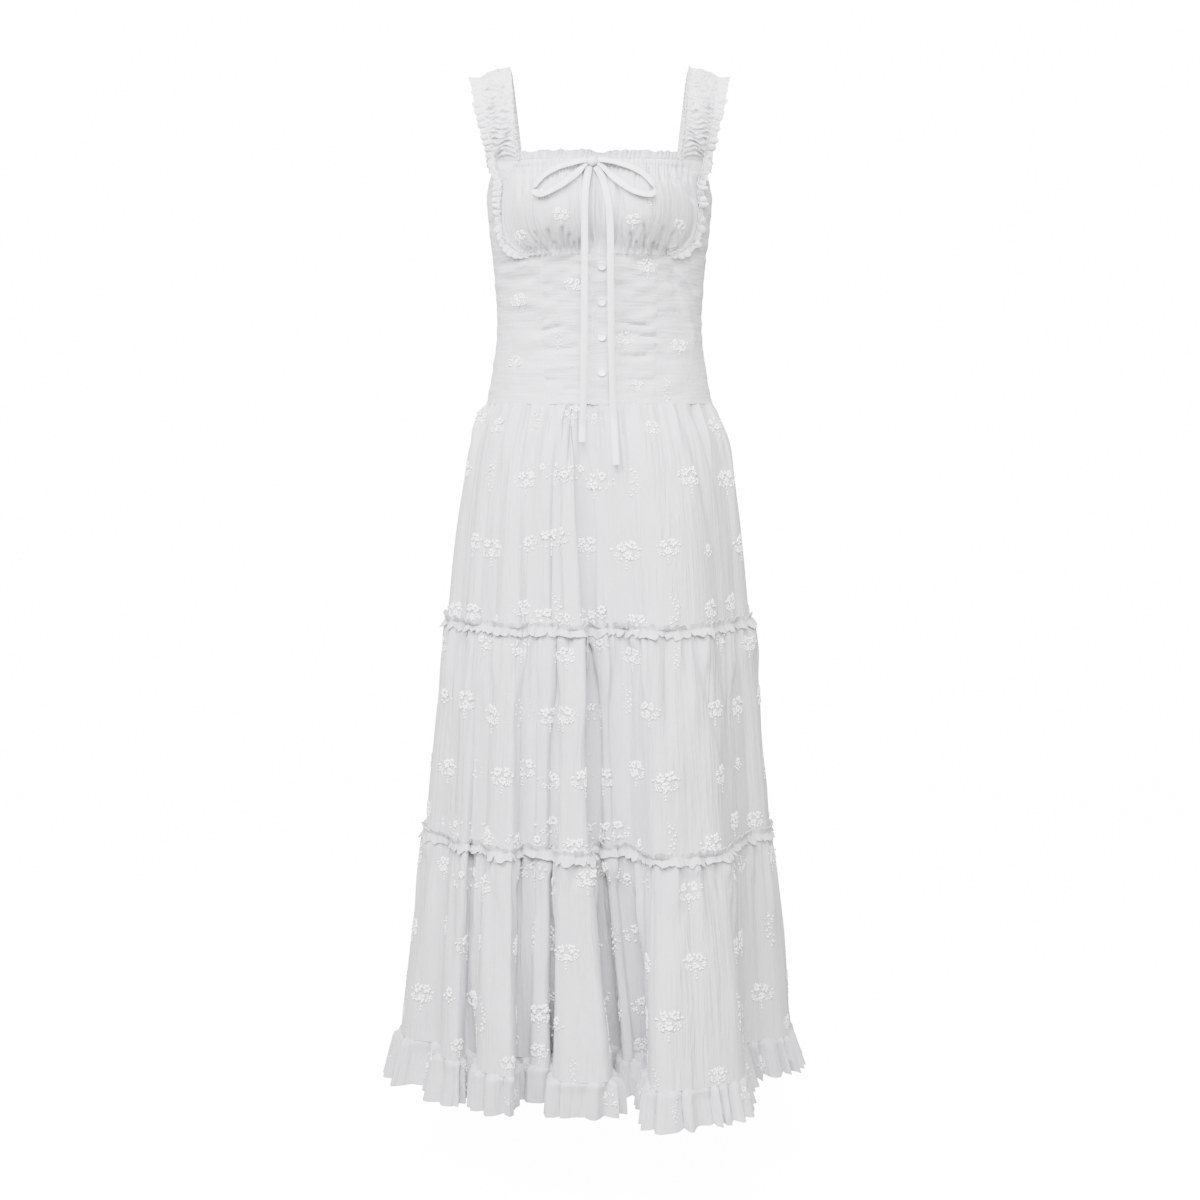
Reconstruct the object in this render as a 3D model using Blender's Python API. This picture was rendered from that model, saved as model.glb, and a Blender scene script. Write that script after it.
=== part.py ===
"""A long tiered dress, held in its worn shape: gathered bust, fitted bodice, ruffled straps and a three-tier skirt.

Metres, +Z up, +X to the dress's left side, the front towards -Y. The origin is midway between the shoulder
straps, at the height where they lie on the shoulders. Every cloth piece is a wall through rows of points on
one shared surface, so neighbours meet at a seam with a small gap.
"""

import math

import bmesh
import bpy
import numpy as np
from mathutils import Vector

# Cloth and seams
CLOTH = 0.0015
SEAM_GAP = 0.0003
LAYER_GAP = 0.0005
STEP = 0.0004

# Heights of the main seams, below the shoulders
NECK_Z = -0.1225
BACK_NECK_Z = -0.1265
UNDERARM_Z = -0.168
UNDERBUST_Z = -0.241
WAIST_SEAM_Z = -0.431
TIER_SEAM_1_Z = -0.708
TIER_SEAM_2_Z = -0.977
RUFFLE_SEAM_Z = -1.2335
HEM_Z = -1.2750
HEM_DROP_LEFT = 0.014

# The figure's and the skirt's cross-sections, one row for each height
SECTION_POWER = 2.2
SECTIONS = [
    # height, half width, front depth, back depth, share of the hem's folds
    (-0.060, 0.1490, 0.086, 0.084, 0.00),
    (-0.119, 0.1500, 0.100, 0.090, 0.00),
    (-0.168, 0.1460, 0.106, 0.094, 0.00),
    (-0.205, 0.1430, 0.105, 0.092, 0.00),
    (-0.241, 0.1385, 0.099, 0.086, 0.00),
    (-0.290, 0.1342, 0.091, 0.080, 0.00),
    (-0.338, 0.1325, 0.088, 0.078, 0.00),
    (-0.385, 0.1380, 0.094, 0.085, 0.00),
    (-0.431, 0.1465, 0.105, 0.099, 0.03),
    (-0.478, 0.1650, 0.125, 0.120, 0.12),
    (-0.556, 0.1800, 0.143, 0.140, 0.26),
    (-0.634, 0.1895, 0.153, 0.152, 0.37),
    (-0.708, 0.1965, 0.163, 0.163, 0.45),
    (-0.816, 0.2080, 0.178, 0.180, 0.53),
    (-0.977, 0.2220, 0.200, 0.203, 0.64),
    (-1.100, 0.2370, 0.218, 0.222, 0.82),
    (-1.2335, 0.2490, 0.240, 0.243, 1.00),
    (-1.290, 0.2530, 0.245, 0.248, 1.04),
]

# The skirt's main folds at the ruffle seam, seen from above, round from the dress's right side
HEM_FOLDS = [
    # fold, crest x, crest y, crest width, valley x, valley y, valley width
    ("right side", -0.247, -0.046, 0.064, -0.198, -0.104, 0.022),
    ("front right outer", -0.186, -0.158, 0.034, -0.154, -0.130, 0.016),
    ("front right", -0.126, -0.218, 0.046, -0.092, -0.150, 0.020),
    ("front right inner", -0.072, -0.190, 0.020, -0.052, -0.112, 0.020),
    ("front centre", -0.020, -0.246, 0.062, 0.014, -0.104, 0.024),
    ("front channel", 0.035, -0.166, 0.010, 0.050, -0.134, 0.018),
    ("front left", 0.118, -0.262, 0.112, 0.176, -0.100, 0.024),
    ("left side", 0.238, -0.034, 0.078, 0.196, 0.046, 0.022),
    ("back left outer", 0.226, 0.100, 0.036, 0.174, 0.112, 0.022),
    ("back left", 0.190, 0.178, 0.042, 0.136, 0.148, 0.022),
    ("back left inner", 0.132, 0.222, 0.036, 0.088, 0.156, 0.022),
    ("back centre left", 0.060, 0.250, 0.046, 0.026, 0.148, 0.024),
    ("back centre", -0.012, 0.250, 0.044, -0.044, 0.164, 0.022),
    ("back centre right", -0.084, 0.242, 0.040, -0.106, 0.148, 0.022),
    ("back right inner", -0.148, 0.206, 0.038, -0.150, 0.134, 0.020),
    ("back right", -0.206, 0.152, 0.038, -0.182, 0.086, 0.022),
    ("back right outer", -0.246, 0.074, 0.046, -0.204, 0.026, 0.022),
]
CHANNEL_FOLD = 4
CHANNEL_LEAN_DEG = 11.0
CHANNEL_LEAN_SPREAD = 0.075
HEM_HALF_WIDTH = 0.250
HEM_FRONT = 0.240
HEM_BACK = 0.243

# How finely the walls are divided
SKIRT_COLUMNS = 50
COLUMNS_PER_WAVE = 4
COLUMNS_PER_HEM_WAVE = 2
FOLD_TURN_WEIGHT = 1.4
CURVE_SAMPLES = 1440

# Gathers and ruffle waves
GATHER_DEPTH = 0.0036
GATHER_LENGTH = 0.130
TRIM_WIDTH = 0.013
TRIM_ABOVE = 0.0058
TRIM_BELOW = 0.0072
TRIM_WAVE_DEPTH = 0.0045
HEM_WAVE_DEPTH = 0.0045
HEM_FLARE = 0.012
BUST_GATHERS = 14
BUST_GATHER_DEPTH = 0.0022
NECK_WAVES = 14
NECK_FRILL_HEIGHT = 0.0105
NECK_WAVE_DEPTH = 0.0022
STRAP_WAVES = 10
STRAP_WAVE_DEPTH = 0.0035

# The bust cups
CUP_CENTRE_X = 0.060
CUP_CENTRE_Z = -0.187
CUP_HALF_WIDTH = 0.066
CUP_HALF_HEIGHT = 0.066
CUP_DEPTH = 0.031
CUP_EDGE = [
    # x, z down the outer seam of a cup, from the neckline corner to the underbust
    (0.1030, NECK_Z),
    (0.1120, -0.1380),
    (0.1195, -0.1570),
    (0.1240, -0.1790),
    (0.1240, -0.2010),
    (0.1185, -0.2200),
    (0.1060, -0.2340),
    (0.0870, -0.2425),
]

# Bodice seams
PRINCESS_SEAM = [
    # x, z down the seam between the centre and side panels
    (0.0720, -0.2424),
    (0.0715, -0.2620),
    (0.0708, -0.2950),
    (0.0698, -0.3380),
    (0.0685, -0.3850),
    (0.0670, WAIST_SEAM_Z),
]
ARMHOLE = [
    # degrees round from the front, height
    (61.5, NECK_Z),
    (67.0, -0.1370),
    (76.0, -0.1540),
    (90.0, UNDERARM_Z),
]
SIDE_SEAM_Z = [-0.1900, -0.2080, -0.2250, -0.2400, -0.2480, -0.2660, -0.2980, -0.3400, -0.3860, WAIST_SEAM_Z]
STRAP_OUTER_X = 0.133
BACK_ARMHOLE_DEG = 30.0

# The straps' edges over the shoulder, from the front neckline to the back
STRAP_EDGES = [
    # inner x, y, z, outer x, y, z
    (0.1085, -0.0800, -0.0850, 0.1390, -0.0600, -0.0880),
    (0.1130, -0.0670, -0.0400, 0.1460, -0.0540, -0.0480),
    (0.1175, -0.0350, -0.0060, 0.1510, -0.0310, -0.0170),
    (0.1200, 0.0020, 0.0030, 0.1530, 0.0020, -0.0080),
    (0.1175, 0.0380, -0.0060, 0.1505, 0.0340, -0.0170),
    (0.1130, 0.0640, -0.0400, 0.1450, 0.0500, -0.0480),
    (0.1075, 0.0740, -0.0850, 0.1380, 0.0555, -0.0890),
]
STRAP_STATIONS = 25
STRAP_COLUMNS = 4
STRAP_RUFFLE_WIDTH = 0.0135
CUP_RUFFLE_WIDTH = 0.0075

# Placket and buttons
PLACKET_HALF_WIDTH = 0.0110
BUTTON_X = 0.0030
BUTTON_Z = [-0.2570, -0.3020, -0.3470, -0.3920]
BUTTON_RADIUS = 0.0055
BUTTON_THICKNESS = 0.0024
BUTTON_SIDES = 14

# The drawstring's flat ties
TIE_WIDTH = 0.0085
TIE_THICKNESS = 0.0012
KNOT_X = -0.0090
KNOT_Z = -0.1275
KNOT_RADII = (0.0072, 0.0056, 0.0056)
KNOT_STANDS_OFF = 0.0068
TAIL_STANDS_OFF = 0.0052
LOOP_STANDS_OFF = 0.0085

WHITE = (0.86, 0.86, 0.85, 1.0)
SHELL = (0.80, 0.80, 0.86, 1.0)


def smooth_rows(heights, values, z):
    """Values at the heights z, on a smooth curve through the rows of a table sorted downwards."""
    x = -np.asarray(heights, float)
    v = np.asarray(values, float)
    at = np.clip(-np.asarray(z, float), x[0], x[-1])
    slope = np.gradient(v, x, axis=0)
    i = np.clip(np.searchsorted(x, at, side="right") - 1, 0, len(x) - 2)
    h = x[i + 1] - x[i]
    t = (at - x[i]) / h
    if v.ndim > 1:
        h = h[..., None]
        t = t[..., None]
    return (
        (2 * t**3 - 3 * t**2 + 1) * v[i]
        + (t**3 - 2 * t**2 + t) * h * slope[i]
        + (3 * t**2 - 2 * t**3) * v[i + 1]
        + (t**3 - t**2) * h * slope[i + 1]
    )


def smoothstep(t):
    t = np.clip(t, 0.0, 1.0)
    return t * t * (3 - 2 * t)


def through(points, count):
    """The number of points asked for, evenly spaced on a smooth open curve through the given ones."""
    p = np.asarray(points, float)
    along = np.concatenate([[0.0], np.cumsum(np.linalg.norm(np.diff(p, axis=0), axis=1) ** 0.5)])
    fine = np.linspace(0.0, along[-1], 40 * len(p))
    line = smooth_rows(-along, p, -fine)
    length = np.concatenate([[0.0], np.cumsum(np.linalg.norm(np.diff(line, axis=0), axis=1))])
    at = np.linspace(0.0, length[-1], count)
    return np.stack([np.interp(at, length, line[:, k]) for k in range(p.shape[1])], axis=1)


def hem_outline():
    """The folded plan of the skirt at the ruffle seam, evenly spaced, and the share where the channel lies."""
    points = []
    for _, crest_x, crest_y, crest_width, valley_x, valley_y, valley_width in HEM_FOLDS:
        for x, y, width, bulge in ((crest_x, crest_y, crest_width, 0.10), (valley_x, valley_y, valley_width, -0.25)):
            place = np.array([x, y])
            outward = place / np.linalg.norm(place)
            along = np.array([-outward[1], outward[0]])
            points += [place - along * width / 2, place + outward * width * bulge, place + along * width / 2]
    valley = 6 * CHANNEL_FOLD + 4
    wrapped = points[-6:] + points + points[:7]
    p = np.asarray(wrapped)
    along = np.concatenate([[0.0], np.cumsum(np.linalg.norm(np.diff(p, axis=0), axis=1) ** 0.5)])
    start, end = along[6], along[6 + len(points)]
    fine = np.linspace(start, end, 12 * CURVE_SAMPLES)
    line = smooth_rows(-along, p, -fine)
    length = np.concatenate([[0.0], np.cumsum(np.linalg.norm(np.diff(line, axis=0), axis=1))])
    channel = float(np.interp(along[6 + valley], fine, length)) / length[-1]
    at = np.linspace(0.0, length[-1], CURVE_SAMPLES + 1)
    return np.stack([np.interp(at, length, line[:, k]) for k in (0, 1)], axis=1), channel


HEM_LINE, CHANNEL_SHARE = hem_outline()


def waist_angles():
    """The angle at the waist seam for each share of the way round: the hem's own, evened out, with a lean."""
    share = np.arange(CURVE_SAMPLES) / CURVE_SAMPLES
    x, y = HEM_LINE[:-1, 0], HEM_LINE[:-1, 1]
    hem = np.unwrap(np.arctan2(x, -y))
    waves = np.fft.rfft(hem - 2 * math.pi * share)
    waves[4:] = 0.0
    angle = 2 * math.pi * share + np.fft.irfft(waves, CURVE_SAMPLES)
    away = np.mod(share - CHANNEL_SHARE + 0.5, 1.0) - 0.5
    angle = angle - math.radians(CHANNEL_LEAN_DEG) * np.exp(-((away / CHANNEL_LEAN_SPREAD) ** 2))
    return np.append(angle, angle[0] + 2 * math.pi)


WAIST_ANGLES = waist_angles()


def skirt_angle(share):
    """The angle at the waist seam of a share of the way round the folded cloth."""
    turns = np.floor(share)
    stations = np.arange(CURVE_SAMPLES + 1) / CURVE_SAMPLES
    return np.interp(share - turns, stations, WAIST_ANGLES) + 2 * math.pi * turns


def skirt_share(angle):
    """The share of the way round the folded cloth at an angle of the waist seam."""
    turns = np.floor((angle - WAIST_ANGLES[0]) / (2 * math.pi))
    stations = np.arange(CURVE_SAMPLES + 1) / CURVE_SAMPLES
    return np.interp(angle - 2 * math.pi * turns, WAIST_ANGLES, stations) + turns


def fold_columns(front, count):
    """Shares from one side seam to the other, closer together where the cloth turns round a fold."""
    seam = 0.5 * SEAM_GAP / 1.2
    middle = 0.0 if front else math.pi
    start = float(skirt_share(middle - math.pi / 2)) + seam
    end = float(skirt_share(middle + math.pi / 2)) - seam
    fine = np.linspace(start, end, 1500)
    at = np.mod(fine, 1.0) * CURVE_SAMPLES
    x, y = (np.interp(at, np.arange(CURVE_SAMPLES + 1), HEM_LINE[:, k]) for k in (0, 1))
    heading = np.unwrap(np.arctan2(np.gradient(y), np.gradient(x)))
    turn = np.concatenate([[0.0], np.cumsum(np.abs(np.diff(heading)))])
    weight = np.linspace(0.0, 1.0, len(fine)) + FOLD_TURN_WEIGHT * turn / turn[-1]
    return np.interp(np.linspace(0.0, weight[-1], count + 1), weight, fine)


COLUMN_SHARES = np.concatenate([fold_columns(True, SKIRT_COLUMNS)[:-1], fold_columns(False, SKIRT_COLUMNS)])


def wave_at(share, columns):
    """A wave round the skirt that lasts so many columns."""
    way = np.mod(share - COLUMN_SHARES[0], 1.0) + COLUMN_SHARES[0]
    return np.cos(2 * math.pi * np.interp(way, COLUMN_SHARES, np.arange(len(COLUMN_SHARES))) / columns)


def section(z):
    """Half width, front depth, back depth and fold share at the heights z."""
    table = np.array(SECTIONS)
    rows = smooth_rows(table[:, 0], table[:, 1:], z)
    return rows[..., 0], rows[..., 1], rows[..., 2], np.clip(rows[..., 3], 0.0, 1.1)


def oval(angle, z):
    """Points on the plain cross-section, angle in radians round from the front towards +X."""
    half, front, back, _ = section(z)
    s, c = np.sin(angle), np.cos(angle)
    power = 2.0 / SECTION_POWER
    x = half * np.sign(s) * np.abs(s) ** power
    y = -np.where(c >= 0, front, back) * np.sign(c) * np.abs(c) ** power
    return x, y


def angle_at(x, z):
    """The angle round the section at a half-breadth x on the front."""
    half = section(z)[0]
    return np.sign(x) * np.arcsin(np.clip(np.abs(x) / half, 0, 1) ** (SECTION_POWER / 2.0))


def cup_rise(x, z):
    """How far a cup lifts the front of the bodice."""
    across = (np.abs(x) - CUP_CENTRE_X) / CUP_HALF_WIDTH
    down = (z - CUP_CENTRE_Z) / CUP_HALF_HEIGHT
    return CUP_DEPTH * np.clip(1 - across**2 - down**2, 0, 1) ** 1.5


def bodice_point(angle, z):
    """The bodice's outer surface without gathers."""
    angle, z = np.broadcast_arrays(np.asarray(angle, float), np.asarray(z, float))
    x, y = oval(angle, z)
    y = y - np.where(np.cos(angle) > 0, cup_rise(x, z), 0.0)
    return np.stack([x, y, z], axis=-1)


def skirt_point(share, z):
    """The skirt's outer surface: an oval at the waist that turns into the folded plan at the hem."""
    share, z = np.broadcast_arrays(np.asarray(share, float), np.asarray(z, float))
    half, front, back, folded = section(z)
    x, y = oval(skirt_angle(share), z)
    at = np.mod(share, 1.0) * CURVE_SAMPLES
    stations = np.arange(CURVE_SAMPLES + 1)
    fold_x = np.interp(at, stations, HEM_LINE[:, 0]) * half / HEM_HALF_WIDTH
    fold_y = np.interp(at, stations, HEM_LINE[:, 1])
    fold_y = fold_y * np.where(fold_y < 0, front / HEM_FRONT, back / HEM_BACK)
    gather = GATHER_DEPTH * smoothstep((WAIST_SEAM_Z - z + 0.012) / 0.030)
    gather = gather * smoothstep(1 - (WAIST_SEAM_Z - z) / GATHER_LENGTH)
    ripple = 1 + gather * wave_at(share, COLUMNS_PER_WAVE) / half
    x = ((1 - folded) * x + folded * fold_x) * ripple
    y = ((1 - folded) * y + folded * fold_y) * ripple
    return np.stack([x, y, z], axis=-1)


def normals(surface, u, z, step_u, level=False):
    """Outward unit normals of a surface(u, z) by small steps; level ones have no upward part."""
    across = surface(u + step_u, z) - surface(u - step_u, z)
    down = surface(u, z - STEP) - surface(u, z + STEP)
    n = np.cross(down, across)
    if level:
        n[..., 2] = 0.0
    n = n / np.linalg.norm(n, axis=-1, keepdims=True)
    return n


def level_rows(surface, u, z, step_u, rows):
    """Outward normals with the named rows kept level, so that a seam's rim stays in its plane."""
    n = normals(surface, u, z, step_u)
    flat = normals(surface, u, z, step_u, level=True)
    for row in rows:
        n[row] = flat[row]
    return n


def wall(name, outer, inner, material, round_it=False):
    """A closed cloth wall between two grids of points, rows down and columns across."""
    rows, columns = outer.shape[:2]
    mesh = bmesh.new()
    sides = [[[mesh.verts.new(p) for p in row] for row in grid] for grid in (outer, inner)]
    last = columns if round_it else columns - 1
    for i in range(rows - 1):
        for j in range(last):
            k = (j + 1) % columns
            a, b = sides
            mesh.faces.new((a[i][j], a[i + 1][j], a[i + 1][k], a[i][k]))
            mesh.faces.new((b[i][j], b[i][k], b[i + 1][k], b[i + 1][j]))
    for i in (0, rows - 1):
        for j in range(last):
            k = (j + 1) % columns
            mesh.faces.new((sides[0][i][j], sides[0][i][k], sides[1][i][k], sides[1][i][j]))
    if not round_it:
        for j in (0, columns - 1):
            for i in range(rows - 1):
                mesh.faces.new((sides[0][i][j], sides[0][i + 1][j], sides[1][i + 1][j], sides[1][i][j]))
    bmesh.ops.recalc_face_normals(mesh, faces=mesh.faces)
    return add_object(name, mesh, material)


def add_object(name, mesh, material):
    data = bpy.data.meshes.new(name)
    mesh.to_mesh(data)
    mesh.free()
    data.shade_smooth()
    data.set_sharp_from_angle(angle=math.radians(80))
    data.materials.append(material)
    obj = bpy.data.objects.new(name, data)
    bpy.context.scene.collection.objects.link(obj)
    obj.parent = bpy.data.objects["dress"]
    return obj


def make_material(name, colour, roughness):
    material = bpy.data.materials.new(name)
    material.use_nodes = True
    shader = material.node_tree.nodes["Principled BSDF"]
    shader.inputs["Base Color"].default_value = colour
    shader.inputs["Roughness"].default_value = roughness
    shader.inputs["Metallic"].default_value = 0.0
    return material


def mirrored(points, side):
    """Points made for the +X side, on the side asked for."""
    return points * np.array([side, 1.0, 1.0])


# Skirt


def make_tier(name, heights, material):
    """A tier's front and back, with a row of points at each height; its top row leaves the seam's gap."""
    z = np.array(heights)[:, None]
    z[0] = z[0] - SEAM_GAP
    for front in (True, False):
        shares = fold_columns(front, SKIRT_COLUMNS)
        outer = skirt_point(shares, z)
        grid_u, grid_z = np.broadcast_arrays(shares, z)
        n = level_rows(skirt_point, grid_u, grid_z, 0.0006, (0, -1))
        wall(f"{name}_{'front' if front else 'back'}", outer, outer - n * CLOTH, material)


def ruffle_surface(share, z):
    """The hem ruffle: it starts on the tier's edge, flares and waves."""
    point = skirt_point(share, np.maximum(z, RUFFLE_SEAM_Z))
    way = (RUFFLE_SEAM_Z - z) / (RUFFLE_SEAM_Z - HEM_Z)
    out = normals(skirt_point, share, np.full_like(share, RUFFLE_SEAM_Z), 0.0015, level=True)
    wave = HEM_WAVE_DEPTH * wave_at(share, COLUMNS_PER_HEM_WAVE)
    point = point + out * (way * (HEM_FLARE + wave))[..., None]
    drop = HEM_DROP_LEFT * np.exp(-((np.mod(share + 0.5, 1.0) - 0.5 - 0.03) / 0.06) ** 2)
    point[..., 2] = z - drop * np.clip(way, 0, 1)
    return point


def make_hem_ruffle(material):
    for front in (True, False):
        shares = fold_columns(front, SKIRT_COLUMNS)
        z = np.linspace(RUFFLE_SEAM_Z - SEAM_GAP, HEM_Z, 3)[:, None]
        grid_u, grid_z = np.broadcast_arrays(shares, z)
        outer = ruffle_surface(grid_u, grid_z)
        n = level_rows(ruffle_surface, grid_u, grid_z, 0.0009, (0, 1, 2))
        wall(f"hem_ruffle_{'front' if front else 'back'}", outer, outer - n * CLOTH, material)


def column_normals(base):
    """Level normals of rows of columns once round, each between those of the faces beside it."""
    step = np.roll(base, -1, axis=1) - base
    step[..., 2] = 0.0
    step = step / np.linalg.norm(step, axis=-1, keepdims=True)
    both = step + np.roll(step, 1, axis=1)
    size = np.linalg.norm(both, axis=-1, keepdims=True)
    out = np.cross(both / size, np.array([0.0, 0.0, 1.0]))
    return out * (2 / np.maximum(size, 1.2))


def room_outside(ring, out):
    """How far each point of a closed level ring can move outwards before it meets the ring again."""
    a = ring[:, :2]
    b = np.roll(a, -1, axis=0)
    way = b - a
    room = np.full(len(a), 1.0)
    for i, (point, direction) in enumerate(zip(a, out[:, :2])):
        cross = direction[0] * way[:, 1] - direction[1] * way[:, 0]
        cross = np.where(np.abs(cross) < 1e-12, 1e-12, cross)
        gap = a - point
        t = (gap[:, 0] * way[:, 1] - gap[:, 1] * way[:, 0]) / cross
        s = (gap[:, 0] * direction[1] - gap[:, 1] * direction[0]) / cross
        hit = (s >= -0.05) & (s <= 1.05) & (t > 1e-5)
        hit[[i, i - 1]] = False
        if hit.any():
            room[i] = t[hit].min()
    return room


def make_trim(name, seam, material):
    """A narrow gathered frill round a tier seam, made from the tiers' own points, moved out."""
    shares = np.concatenate([fold_columns(front, SKIRT_COLUMNS)[:-1] for front in (True, False)])
    base = skirt_point(shares, seam + np.array([[TRIM_ABOVE], [0.0], [-TRIM_BELOW]]))
    out = column_normals(base)
    wave = 0.5 - 0.5 * wave_at(shares, COLUMNS_PER_WAVE)
    lift = np.array([0.75, 0.15, 1.0])[:, None] * wave * TRIM_WAVE_DEPTH
    room = np.stack([room_outside(row, way) for row, way in zip(base, out)])
    lift = np.clip(lift, 0.0, np.maximum(0.42 * room - CLOTH - 3 * LAYER_GAP, 0.0))
    inner = base + out * (LAYER_GAP * 2 + lift)[..., None]
    outer = inner + out * CLOTH
    wall(name, outer, inner, material, round_it=True)


# Bodice


def bodice_wall(name, angles, heights, material, side=1, ripple=None, flat_rows=()):
    """A bodice panel through a grid of angles and heights, with a ripple added outwards where given."""
    base = bodice_point(angles, heights)
    n = level_rows(bodice_point, angles, heights, 0.003, flat_rows)
    if ripple is not None:
        base = base + n * ripple[..., None]
    return wall(name, mirrored(base, side), mirrored(base - n * CLOTH, side), material)


def gather_ripple(across, x, z):
    """The bust's gathers: fine at the neckline, deep at the centre and over the underbust seam."""
    wave = np.cos(2 * math.pi * BUST_GATHERS * (across + 1) / 2)
    centre = np.exp(-((x / 0.022) ** 2)) * 1.2
    under = smoothstep((-0.208 - z) / 0.02) * np.exp(-(((np.abs(x) - 0.052) / 0.030) ** 2)) * 1.3
    neck = smoothstep((z + 0.150) / 0.022) * 0.55
    fade = smoothstep((1 - np.abs(across)) / 0.12)
    return BUST_GATHER_DEPTH * wave * (centre + under + neck) * fade


def make_bust(material):
    """One gathered piece from the outer seam of one cup to that of the other."""
    across = np.linspace(-1.0, 1.0, 4 * BUST_GATHERS + 1)
    edge = np.array(CUP_EDGE)
    centre_z = np.linspace(NECK_Z, UNDERBUST_Z, len(edge))
    x = edge[:, :1] * across
    z = centre_z[:, None] + (edge[:, 1:] - centre_z[:, None]) * across**2
    ripple = gather_ripple(across[None, :], x, z)
    bodice_wall("bust", angle_at(x, z), z, material, ripple=ripple, flat_rows=(0, -1))


def cup_seam_outside():
    """The cup's outer seam moved outwards by the seam gap."""
    edge = np.array(CUP_EDGE)
    along = np.gradient(edge, axis=0)
    along = along / np.linalg.norm(along, axis=1, keepdims=True)
    out = np.stack([-along[:, 1], along[:, 0]], axis=1)
    moved = edge + out * SEAM_GAP * 1.15
    moved[0, 1] = NECK_Z
    return moved


def make_side_front(side, name, material):
    """The panel between a cup, the armhole, the side seam and the princess seam."""
    inner = np.concatenate([cup_seam_outside(), np.array(PRINCESS_SEAM)])
    inner_angle = angle_at(inner[:, 0], inner[:, 1])
    outer_deg = [row[0] for row in ARMHOLE] + [90.0] * len(SIDE_SEAM_Z)
    outer_z = np.array([row[1] for row in ARMHOLE] + SIDE_SEAM_Z)
    seam = 0.5 * SEAM_GAP / 0.1
    outer_angle = np.radians(outer_deg)
    outer_angle[3:] = outer_angle[3:] - seam
    across = np.linspace(0.0, 1.0, 6)
    angles = inner_angle[:, None] + (outer_angle - inner_angle)[:, None] * across
    heights = inner[:, 1:] + (outer_z - inner[:, 1])[:, None] * across
    bodice_wall(name, angles, heights, material, side=side, flat_rows=(0, 7, 8, -1))


def make_centre_front(side, name, material):
    """The panel between the centre line and the princess seam."""
    seam = np.array(PRINCESS_SEAM)
    rows = (seam[:, 1] - seam[0, 1]) / (WAIST_SEAM_Z - seam[0, 1])
    across = np.linspace(0.0, 1.0, 6)
    x = SEAM_GAP / 2 + (seam[:, :1] - SEAM_GAP * 1.6 - SEAM_GAP / 2) * across
    cup_end_x, cup_end_z = CUP_EDGE[-1]
    top = UNDERBUST_Z + (cup_end_z - UNDERBUST_Z) * (x[0] / cup_end_x) ** 2 - SEAM_GAP * 1.15
    z = top + (WAIST_SEAM_Z - top) * rows[:, None]
    bodice_wall(name, angle_at(x, z), z, material, side=side, flat_rows=(0, -1))


def make_back(material):
    """One plain back panel from side seam to side seam, its top cut down to the underarms."""
    seam = 0.5 * SEAM_GAP / 0.1
    angles = np.linspace(math.pi / 2 + seam, 3 * math.pi / 2 - seam, 21)
    from_side = np.degrees(np.minimum(angles - math.pi / 2, 3 * math.pi / 2 - angles))
    top = UNDERARM_Z + (BACK_NECK_Z - UNDERARM_Z) * smoothstep(from_side / BACK_ARMHOLE_DEG)
    rows = np.linspace(0.0, 1.0, 8)[:, None]
    z = top + (WAIST_SEAM_Z - top) * rows
    bodice_wall("bodice_back", np.broadcast_to(angles, z.shape), z, material, flat_rows=(-1,))


def make_placket(material):
    """The button strip down the centre front, lying on the two centre panels."""
    seam_z = np.array(PRINCESS_SEAM)[:, 1]
    rows = (seam_z - seam_z[0]) / (WAIST_SEAM_Z - seam_z[0])
    top = UNDERBUST_Z - SEAM_GAP * 1.15
    x = np.linspace(-PLACKET_HALF_WIDTH, PLACKET_HALF_WIDTH, 5)[None, :]
    z = (top + (WAIST_SEAM_Z - top) * rows)[:, None]
    x, z = np.broadcast_arrays(x, z)
    angles = angle_at(x, z)
    base = bodice_point(angles, z)
    n = normals(bodice_point, angles, z, 0.003)
    inner = base + n * LAYER_GAP
    return wall("button_placket", inner + n * CLOTH, inner, material)


def make_button(index, z, material):
    """A flat button with a raised rim, standing on the placket."""
    profile = [
        # share of the radius, share of the thickness
        (0.94, 0.0),
        (1.0, 0.35),
        (1.0, 0.75),
        (0.92, 1.0),
        (0.76, 1.0),
        (0.66, 0.72),
    ]
    mesh = bmesh.new()
    rings = []
    for radius, height in profile:
        ring = []
        for k in range(BUTTON_SIDES):
            turn = 2 * math.pi * k / BUTTON_SIDES
            r = radius * BUTTON_RADIUS
            ring.append(mesh.verts.new((r * math.cos(turn), r * math.sin(turn), height * BUTTON_THICKNESS)))
        rings.append(ring)
    for lower, upper in zip(rings, rings[1:]):
        for k in range(BUTTON_SIDES):
            m = (k + 1) % BUTTON_SIDES
            mesh.faces.new((lower[k], lower[m], upper[m], upper[k]))
    mesh.faces.new(rings[0])
    mesh.faces.new(rings[-1])
    bmesh.ops.recalc_face_normals(mesh, faces=mesh.faces)
    obj = add_object(f"button_{index}", mesh, material)
    angle = angle_at(np.array([BUTTON_X]), np.array([z]))
    height = np.array([z])
    place = bodice_point(angle, height)
    n = normals(bodice_point, angle, height, 0.003)
    obj.location = Vector((place + n * (LAYER_GAP + CLOTH + 3 * SEAM_GAP))[0])
    obj.rotation_euler = Vector(n[0]).to_track_quat("Z", "Y").to_euler()


# Neckline and straps


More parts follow.
